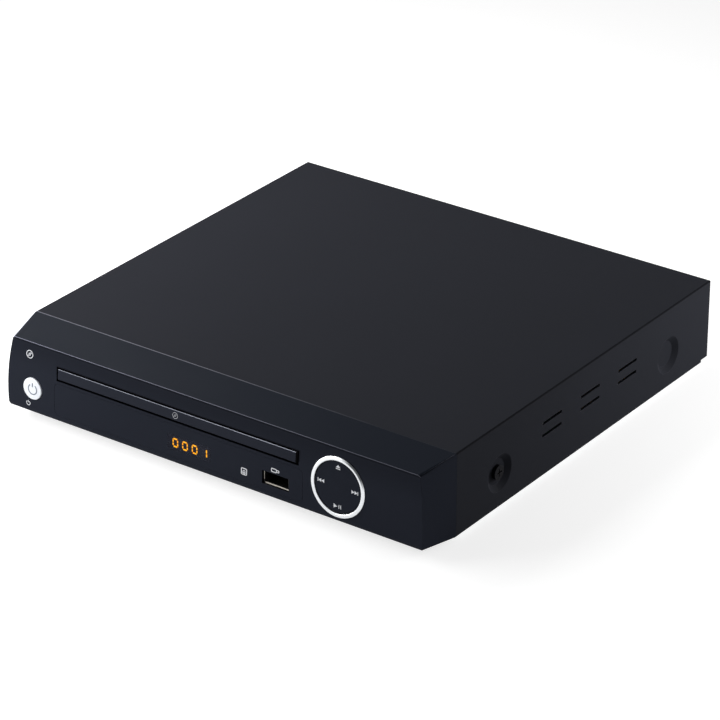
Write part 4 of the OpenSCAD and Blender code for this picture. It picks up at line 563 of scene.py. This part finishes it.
metal("nickel", (0.72, 0.70, 0.66), 0.22).dress("av_jack_shells", "hdmi_shell", "guide_rods", "mains_pins")
metal("zinc_screw", (0.62, 0.62, 0.60), 0.3).dress("loader_screws", "board_screws")
metal("aluminium", (0.70, 0.71, 0.72), 0.35, 0.5 * MM, (1, 1, 20)).dress("heat_sinks")
metal("motor_can", (0.58, 0.57, 0.54), 0.3, 0.5 * MM, (1, 1, 12)).dress("loading_motor", "spindle_motor",
                                                                        "sled_motor")
metal("pickup_metal", (0.42, 0.42, 0.43), 0.42, 0.7 * MM).dress("pickup_body")
metal("brass_gear", (0.72, 0.52, 0.24), 0.3).dress("sled_pinion")

black_screw = Finish("black_screw", Specular_IOR_Level=0.02)
turned = black_screw.noise(0.3 * MM, 2)
# painted highlight on the screws' edges
black_screw.to("Base Color", black_screw.blend(black_screw.edges(0.14 * MM), (0.007, 0.007, 0.009),
                                               (0.055, 0.055, 0.065)))
black_screw.to("Roughness", black_screw.spread(turned, 0.28, 0.4))
black_screw.to("Normal", black_screw.relief(turned, 0.003 * MM, black_screw.rounded(0.12 * MM)))
black_screw.dress("cover_screws")
print("metals dressed")

# %% [markdown]
# The socket's shell gets a painted highlight at its mouth and painted shade farther in. Its floor, which
# faces up, keeps its painted highlight deeper in than its walls do, and painted shade covers its roof and its
# right wall, which lie in the shade of the bezel.

# %% Socket's shell
USB_X, USB_Z = 35.9, 11.2        # the opening's middle, mm
MOUTH = 0.9 * MM                 # the shell's mouth lies this far behind the face
FLOOR_TOP, FLOOR_LEFT, FLOOR_DEEP = -2.5 * MM, -6.0 * MM, 0.45 * MM      # from the middle, and from the mouth
WALL_LOW, WALL_RIGHT, WALL_DEEP = -1.3 * MM, -6.2 * MM, 0.15 * MM
socket = metal("nickel_socket", (1.0, 0.94, 0.84), 0.24, edge=0.05 * MM)
inward = socket.part("y") - (JOINT_Y + float(face_y(USB_Z * MM)) + MOUTH)
aside, above = socket.part("x") - USB_X * MM, socket.part("z") - (CASE_Z + USB_Z * MM)
floor = (above < FLOOR_TOP) * (aside > FLOOR_LEFT) * (inward < FLOOR_DEEP)
left_wall = (aside < WALL_RIGHT) * (above > WALL_LOW) * (inward < WALL_DEEP)
shining = floor + left_wall * 0.8
# painted highlight where it shines, painted shade elsewhere
socket.to("Base Color", socket.blend(shining, (0.006, 0.006, 0.006), socket.now("Base Color")))
socket.to("Metallic", socket.spread(shining, 0.1, 0.15, 0, 1))
socket.dress("usb_shell")
print("dressed:", "usb_shell")

# %% [markdown]
# ## Boards and parts
# A circuit board is glass cloth with copper tracks under a coloured lacquer. Bands of noise, cut at a
# level, stand for the tracks, which are a little lighter and raised.

# %% Boards
def board(name, colour, track_colour):
    """Lacquered board: tracks along x and y from two stretched noises cut at a level."""
    lacquer = Finish(name, Specular_IOR_Level=0.5, Coat_Weight=0.25)
    along = lacquer.noise(1.6 * MM, 0, 0.5, (14, 1, 1))
    across_board = lacquer.noise(1.6 * MM, 0, 0.5, (1, 14, 1))
    tracks = lacquer.spread(along, 0, 1, 0.52, 0.54) * lacquer.spread(across_board, 1, 0, 0.56, 0.58)
    lacquer.to("Base Color", lacquer.blend(tracks, colour, track_colour))
    lacquer.to("Roughness", lacquer.spread(tracks, 0.42, 0.3, 0, 1))
    lacquer.to("Normal", lacquer.relief(tracks, 0.02 * MM))
    return lacquer


board("board_green", (0.012, 0.085, 0.035), (0.03, 0.15, 0.06)).dress("main_board", "front_board", "av_board")
board("board_brown", (0.20, 0.11, 0.045), (0.30, 0.19, 0.09)).dress("power_board")
moulding("chip_black", (0.02, 0.02, 0.021), 0.55, 0.2, 0.2 * MM).dress("board_chips")
moulding("capacitor_sleeve", (0.02, 0.03, 0.07), 0.35, 0.4).dress("board_capacitors")
moulding("ferrite", (0.045, 0.045, 0.05), 0.55, 0.3, 0.4 * MM).dress("transformer")
moulding("sensor_dark", (0.02, 0.008, 0.01), 0.12, 0.5).dress("ir_receiver")
print("boards and their parts dressed")

# %% [markdown]
# Some parts have two finishes on one solid: chips have tinned legs, capacitors have a bare top and a pale
# stripe, and the transformer's winding is wrapped in yellow tape. The faces are picked by where they are
# and which way they look.

# %% Faces with a finish of their own
LEG_LOW, LEG_HIGH = 10.6, 11.4   # the legs lie between these heights, mm
LEG_END = 0.32                   # area of half a leg's square end, mm2
TAPE_BOX = np.array([[84.4, 44.5, 14.1], [101.6, 57.5, 24.1]])      # the winding lies in this box, mm


def is_leg(centre, normal, area):
    """A leg's top and underside lie at its two heights, its flanks between them, and its ends are small."""
    z = centre[:, 2]
    flat = (abs(normal[:, 2]) > FLAT) & ((abs(z - LEG_HIGH) < 0.01) | (abs(z - LEG_LOW) < 0.01))
    flank = (abs(normal[:, 1]) > FLAT) & (z < LEG_HIGH - 0.2)
    return flat | flank | ((abs(normal[:, 0]) > FLAT) & (abs(area - LEG_END) < 0.005))


tin = metal("tinned_legs", (0.75, 0.74, 0.72), 0.28, 0.2 * MM)
tape = moulding("winding_tape", (0.75, 0.52, 0.05), 0.4, 0.3, 1.5 * MM)
can_top = metal("capacitor_top", (0.66, 0.66, 0.67), 0.35, 0.3 * MM)
stripe = moulding("capacitor_stripe", (0.45, 0.46, 0.50), 0.4, 0.3)
tin.dress_faces("board_chips", is_leg)
tape.dress_faces("transformer", lambda centre, normal, area: np.all(
    (centre > TAPE_BOX[0]) & (centre < TAPE_BOX[1]), axis=1))
can_top.dress_faces("board_capacitors", lambda centre, normal, area: normal[:, 2] > 0.99)
stripe.dress_faces("board_capacitors", lambda centre, normal, area: normal[:, 0] > FLAT)

# %% [markdown]
# The flat cable has dark cores at an even pitch under its pale film. Each jack has a ring of its own
# colour, so that its plug is easy to find: the colour depends only on the place along the row. The lens is
# coated glass, which turns from blue to violet.

# %% Cable, jacks and lens
CORE_PITCH, FILM_SHARE = 1.0 * MM, 0.55       # the film between two cores takes this share of the pitch
ribbon = moulding("ribbon", (0.72, 0.72, 0.70), 0.4, 0.3)
core = (ribbon.part("x") * (1 / CORE_PITCH)).fraction() > FILM_SHARE
ribbon.to("Base Color", ribbon.blend(core, ribbon.now("Base Color"), (0.35, 0.34, 0.33)))
ribbon.dress("panel_ribbon")

YELLOW, WHITE, RED, ORANGE = (0.75, 0.52, 0.02), (0.75, 0.75, 0.72), (0.5, 0.015, 0.015), (0.7, 0.17, 0.01)
JACK_FIRST, JACK_PITCH = -84 * MM, 14 * MM
jack = Finish("jack_colours", Specular_IOR_Level=0.45)
grain = jack.noise(0.2 * MM, 1)
ring_colour = YELLOW
for turn, colour in enumerate((WHITE, RED, ORANGE)):
    half_way = JACK_FIRST + (turn + 0.5) * JACK_PITCH
    ring_colour = jack.blend(jack.part("x") > half_way, ring_colour, colour)
jack.to("Base Color", ring_colour)
jack.to("Roughness", jack.spread(grain, 0.3, 0.42))
jack.to("Normal", jack.relief(grain, 0.003 * MM))
jack.dress("av_jack_inserts")

lens = Finish("lens", Roughness=0.03, IOR=1.6, Coat_Weight=0.6, Coat_Roughness=0.03)
lens.to("Base Color", lens.blend(lens.noise(2 * MM, 1), (0.05, 0.09, 0.22), (0.12, 0.06, 0.22)))
lens.dress("objective_lens")
undressed = [name for name, solid in nodes.items()
             if solid.data.materials[0].name not in FINISH_NAMES]
print("boards dressed, left over:", undressed)

# %% [markdown]
# ## Printed signs
# The signs on the control pad, the button, the bezel and the rear are thin prints. Each stroke is a
# ribbon carried along its path. Its width may change on the way, so a triangle is one stroke that
# starts wide and ends in a point. The ribbons are worked out flat, in millimetres, and then laid on
# the surface, three hundredths of a millimetre proud.

# %% Strokes
INK_PROUD = 0.03                 # mm above the surface
INK_SUNK = 0.12                  # mm below it, so that no gap shows


def stroke(path, widths):
    """A closed ribbon along path: each point gives four corners, left and right, top and bottom."""
    path = np.asarray(path, dtype=float)
    widths = np.broadcast_to(np.asarray(widths, dtype=float), len(path))
    step = np.gradient(path, axis=0)
    step /= np.linalg.norm(step, axis=1)[:, None]
    side = np.stack([-step[:, 1], step[:, 0]], axis=1) * widths[:, None] / 2
    ring = []
    for sign, height in ((1, INK_PROUD), (1, -INK_SUNK), (-1, -INK_SUNK), (-1, INK_PROUD)):
        ring.append(np.column_stack([path + sign * side, np.full(len(path), height)]))
    points = np.stack(ring, axis=1).reshape(-1, 3)
    i = np.arange(len(path) - 1)[:, None] * 4
    k = np.arange(4)[None, :]
    quads = np.stack([i + k, i + (k + 1) % 4, i + 4 + (k + 1) % 4, i + 4 + k], axis=-1).reshape(-1, 4)
    ends = [[3, 2, 1, 0], [len(points) - 4, len(points) - 3, len(points) - 2, len(points) - 1]]
    return points, np.vstack([quads, ends])


def arc(centre, radius, start, end, steps=28):
    """Points on a circle from start to end, in degrees from the x axis."""
    turn = np.radians(np.linspace(start, end, steps))
    return np.column_stack([centre[0] + radius * np.cos(turn), centre[1] + radius * np.sin(turn)])


def straight(start, end, steps=2):
    """Points evenly along a straight line."""
    return np.linspace(start, end, steps)


def pointer(x, z, width, height):
    """A filled triangle that points along +x or, with a negative width, along -x."""
    return stroke(straight((x, z), (x + width, z), 4), [height, height * 2 / 3, height / 3, 0.02])


def gather(parts):
    """Joins ribbons into one list of points and one of faces."""
    points, faces, start = [], [], 0
    for p, f in parts:
        points.append(p)
        faces.append(f + start)
        start += len(p)
    return np.vstack(points), np.vstack(faces)


def print_on(name, parts, surface, body, finish):
    """Lays ribbons on a surface, a function of x, z and height in mm that gives points in metres."""
    points, faces = gather(parts)
    if surface is on_rear:       # the rear mirrors the sign, so its faces are turned over
        faces = faces[:, ::-1]
    mesh = bpy.data.meshes.new(name)
    mesh.from_pydata(surface(points[:, 0], points[:, 1], points[:, 2]).tolist(), [], faces.tolist())
    mesh.update()
    piece = bpy.data.objects.new(name, mesh)
    bpy.context.scene.collection.objects.link(piece)
    mesh.materials.append(finish.material)
    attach(piece, body)


print("stroke helper ready")

# %% [markdown]
# ### Where the signs lie
# The face leans back a little more with height, and the pad and the button stand square to it at their
# own height. So each surface has its own rule for turning a flat sign into points in space.

# %% Surfaces under the signs
PAD_REACH = 11.3                 # where the pad's shallow cone ends, mm
PAD_RISE, PAD_FALL = 0.25, 0.15  # its middle stands proud of the face, and its end is lower by this, mm
BUTTON = (-96.9045, 14.4)        # the button's middle on the face, mm
BUTTON_FLAT = 2.575              # radius of its nearly flat middle, mm
BUTTON_RISE, BUTTON_FALL = 0.55, 0.03         # as for the pad, mm
BUTTON_SLOPE = 0.055             # fall per mm outside the flat middle


def on_face(x, z, height):
    """A point x, z mm on the bezel's face, height mm in front of it."""
    return np.column_stack([x * MM, JOINT_Y + face_y(z * MM) - height * MM, CASE_Z + z * MM])


def on_rear(x, z, height):
    """A point x, z mm on the rear panel, height mm behind it. Seen from there x runs to the left."""
    return np.column_stack([x * MM, REAR_Y + height * MM, CASE_Z + z * MM])


def face_slope(z):
    """How far the face leans back at height z in mm, as an angle."""
    return math.atan(2 * (z - FACE_LOW) / FACE_CURVE)


def square_to_face(centre, rise):
    """Rule for a round piece that stands square to the face at its centre, with its own rise above it."""
    slope = face_slope(centre[1])

    def place(x, z, height):
        across, up = x - centre[0], z - centre[1]
        out = rise(np.hypot(across, up)) + height
        y = float(face_y(centre[1] * MM)) / MM + up * math.sin(slope) - out * math.cos(slope)
        lift = centre[1] + up * math.cos(slope) + out * math.sin(slope)
        return np.column_stack([x * MM, JOINT_Y + y * MM, CASE_Z + lift * MM])

    return place


def button_rise(r):
    """The button's crown: a slow cone in the middle, then a steeper one towards its rim."""
    return np.where(r < BUTTON_FLAT, BUTTON_RISE - BUTTON_FALL * r / BUTTON_FLAT,
                    BUTTON_RISE - BUTTON_FALL - BUTTON_SLOPE * (r - BUTTON_FLAT))


on_pad = square_to_face(PAD, lambda r: PAD_RISE - PAD_FALL * r / PAD_REACH)
on_button = square_to_face(BUTTON, button_rise)
print("pad leans", round(math.degrees(face_slope(PAD[1])), 2), "degrees")

# %% [markdown]
# ### The ink
# The print is pale grey ink. It is dimmer on the tray's door and at the rear. On the silver button the
# sign is dark, so that it stands out.

# %% Inks
def ink(name, colour, roughness=0.5):
    """Screen ink: nearly even, with a little change from the mesh it was pressed through."""
    paint = Finish(name, Specular_IOR_Level=0.3)
    dots = paint.noise(0.12 * MM, 1)
    paint.to("Base Color", paint.blend(paint.spread(dots, 0, 1), tone(colour, 0.88), colour))
    paint.to("Roughness", paint.spread(dots, roughness, roughness + 0.1))
    return paint


white_ink = ink("white_ink", (0.86, 0.88, 0.92))
dim_ink = ink("dim_ink", (0.40, 0.41, 0.44))
grey_ink = ink("grey_ink", (0.23, 0.26, 0.31))
print("inks:", white_ink.material.name, dim_ink.material.name, grey_ink.material.name)

# %% [markdown]
# ### The signs
# The pad says what it does in pictures: eject at the top, skip back and skip on at the sides, play and
# pause below. A broken circle with a bar is the sign of standby. Beside the display there is a framed eye
# over the remote control's receiver, and a small plug over the socket. Their places are in mm on the face.

# %% Signs on the front
SIGN = 1.7                       # height of the signs on the pad, mm
POINT = 1.55                     # length of one pointer


def skip(x, z, way):
    """Two pointers and a bar, side by side from x, towards +x with way 1 or towards -x with way -1."""
    bar = x + (POINT + 0.12) * way
    return [pointer(x - POINT * way, z, POINT * way, SIGN), pointer(x, z, POINT * way, SIGN),
            stroke(straight((bar, z - SIGN / 2), (bar, z + SIGN / 2)), 0.34)]


def frame_line(x0, z0, x1, z1, width, round_by=0.4):
    """A rectangle's outline with rounded corners, as one closed stroke."""
    corners = [(x1 - round_by, z0 + round_by, -90), (x1 - round_by, z1 - round_by, 0),
               (x0 + round_by, z1 - round_by, 90), (x0 + round_by, z0 + round_by, 180)]
    path = np.vstack([arc((x, z), round_by, start, start + 90, 5) for x, z, start in corners])
    return stroke(np.vstack([path, path[:2]]), width)


def standby_sign(x, z, radius, width, low, high, steps=40):
    """A circle open at its top, and a bar that stands in the opening between low and high."""
    return [stroke(arc((x, z), radius, 125, 415, steps), width),
            stroke(straight((x, z + low), (x, z + high), 3), width)]


eject = [stroke(straight((67.96, 27.6), (67.96, 28.9), 4), [2.3, 1.53, 0.77, 0.02]),
         stroke(straight((66.8, 27.05), (69.1, 27.05)), 0.42)]
play = [pointer(66.3, 9.9, 1.9, 1.9), stroke(straight((69.0, 9.1), (69.0, 10.8)), 0.36),
        stroke(straight((69.9, 9.1), (69.9, 10.8)), 0.36)]
pad_signs = eject + skip(59.63, 19.3, -1) + skip(76.64, 18.9, 1) + play
button_sign = standby_sign(BUTTON[0] + 0.35, BUTTON[1] - 0.1, 2.35, 0.56, 1.1, 3.0)
print_on("pad_signs", pad_signs, on_pad, "nav_pad", white_ink)
print_on("button_sign", button_sign, on_button, "power_button", grey_ink)

EYE = (19.4, 10.55)
eye = [frame_line(EYE[0] - 1.35, EYE[1] - 1.45, EYE[0] + 1.35, EYE[1] + 1.45, 0.46),
       stroke(arc(EYE, 0.55, 0, 360, 16), 0.34), stroke(arc(EYE, 1.0, 200, 340, 10), 0.28)]
PLUG = (35.7, 16.0)
plug = [frame_line(PLUG[0] - 1.9, PLUG[1] - 0.75, PLUG[0] + 0.7, PLUG[1] + 0.75, 0.4),
        frame_line(PLUG[0] + 0.7, PLUG[1] - 0.45, PLUG[0] + 2.0, PLUG[1] + 0.45, 0.34, 0.2)]
face_signs = standby_sign(-99.62, 6.7, 1.0, 0.30, 0.3, 1.35, 24) + eye + plug
print_on("face_signs", face_signs, on_face, "root", white_ink)
print("front signs printed")

# %% [markdown]
# A small picture of a disc stands on the upper left of the face, and a fainter one on the tray's door,
# where it moves with the tray.

# %% Disc signs
def disc_sign(x, z, radius, width):
    """A disc seen flat: its rim, its hub and two short glints between them."""
    rim, hub = arc((x, z), radius, 0, 360, 36), arc((x, z), radius * 0.27, 0, 360, 16)
    glints = [arc((x, z), radius * 0.62, start, start + 50, 8) for start in (20, 200)]
    return [stroke(rim, width), stroke(hub, width)] + [stroke(glint, width * 0.8) for glint in glints]


print_on("disc_sign", disc_sign(-98.6, 30.3, 1.75, 0.34), on_face, "root", white_ink)
print_on("door_sign", disc_sign(-17.7, 25.3, 1.35, 0.24), on_face, "tray", dim_ink)
print("disc signs printed")

# %% [markdown]
# On the rear panel a printed line frames the four jacks and another the socket beside them. The inlet has
# the sign of alternating current over it, one wave of a sine.

# %% Signs on the rear
rear_frames = [frame_line(-91.5, 8.4, -34.5, 25.6, 0.45, 1.6), frame_line(-15.5, 11.5, 3.5, 22.5, 0.45, 1.6)]
sweep = np.linspace(0, 2 * np.pi, 28)
wave = stroke(np.column_stack([86 + 2.6 * (sweep / np.pi - 1), 30.2 + 0.9 * np.sin(sweep)]), 0.4)
print_on("rear_frames", rear_frames, on_rear, "root", dim_ink)
print_on("inlet_sign", [wave], on_rear, "root", dim_ink)
print("rear signs printed")

# %% [markdown]
# ## Table, lamps and camera
# The table is a plain pale plane. To the eye and in reflections it shows as white paper, because a glow
# that only such rays see is added to it, and the player's soft shadow still falls on it.

# %% Table
PAPER = ((0.55, 0.55, 0.55), (0.57, 0.57, 0.57))
PAPER_GLOW = 0.72


def rays(finish, *kinds):
    """1 for rays of one of these kinds, such as Camera or Glossy, and 0 for all others."""
    found = [finish.node("ShaderNodeLightPath", out=f"Is {kind} Ray") for kind in kinds]
    return sum(found[1:], found[0])


bpy.ops.mesh.primitive_plane_add(size=6, location=(0, 0, 0))
table = bpy.context.active_object
table.name = "table"
paper = Finish("table_paper", Roughness=0.9, Specular_IOR_Level=0.1)
paper.to("Base Color", paper.blend(paper.noise(0.3, 2), *PAPER))
lit = paper.node("ShaderNodeEmission", None, {"Color": (1, 1, 1), "Strength": PAPER_GLOW})
both = paper.node("ShaderNodeAddShader", None, {0: paper.coated(), 1: lit})
paper.set(paper.output.inputs["Surface"], paper.node("ShaderNodeMixShader", None, {
    0: rays(paper, "Camera", "Glossy", "Transmission"), 1: paper.coated(), 2: both}))
table.data.materials.append(paper.material)
print("table ready")

# %% [markdown]
# The backdrop is white for the eye and in reflections, and dim as a source of light, so the lamps do the
# shading. The widest lamp, at the front left, gives the player its shape: the top and the brow get darker
# towards the right. The second, high on the left, lifts the top. The smallest, behind on the right, lifts
# the rear of the side.

# %% Backdrop and lamps
DIM = 0.12                       # the backdrop's strength as a source of light
world = bpy.data.worlds.new("studio")
bpy.context.scene.world = world
world.use_nodes = True


class Backdrop(Finish):
    """The same helpers on the world's nodes."""

    def __init__(self, tree):
        self.tree = tree


room = Backdrop(world.node_tree)
back = room.tree.nodes["Background"]
room.set(back.inputs["Color"], (1, 1, 1))
room.set(back.inputs["Strength"], rays(room, "Camera", "Transmission", "Glossy") * (1 - DIM) + DIM)


def lamp(name, place, towards, size, power):
    """A square soft lamp at place that faces towards a point."""
    data = bpy.data.lights.new(name, "AREA")
    data.shape = "SQUARE"
    data.size = size
    data.energy = power
    light = bpy.data.objects.new(name, data)
    bpy.context.scene.collection.objects.link(light)
    light.location = place
    light.visible_camera = False
    light.rotation_euler = (Vector(towards) - Vector(place)).to_track_quat("-Z", "Y").to_euler()


lamp("key_lamp", (-0.457, -0.395, 0.250), (0, 0, 0.02), 0.50, 3.9)
lamp("top_lamp", (-0.315, 0.010, 0.300), (0, 0, 0.03), 0.30, 1.55)
lamp("side_lamp", (0.340, 0.250, 0.098), (0.11, 0.06, 0.03), 0.20, 1.02)
print("lamps ready")

# %% [markdown]
# ## Camera
# A long lens about 1.6 metres away, turned 36 degrees to the right and raised by 27 degrees.

# %% Camera
AZIMUTH, ELEVATION, DISTANCE = math.radians(35.852), math.radians(26.971), 1.57890
TARGET = Vector((0.009275, JOINT_Y + 0.075301, CASE_Z + 0.020))
camera_data = bpy.data.cameras.new("camera")
camera_data.lens = 179.38
camera_data.sensor_width = 36
camera = bpy.data.objects.new("camera", camera_data)
bpy.context.scene.collection.objects.link(camera)
towards_eye = Vector((math.sin(AZIMUTH) * math.cos(ELEVATION), -math.cos(AZIMUTH) * math.cos(ELEVATION),
                      math.sin(ELEVATION)))
camera.location = TARGET + towards_eye * DISTANCE
camera.rotation_euler = towards_eye.to_track_quat("Z", "Y").to_euler()
bpy.context.scene.camera = camera
bpy.context.scene.view_settings.view_transform = "Standard"
print("camera at", [round(c, 3) for c in camera.location])
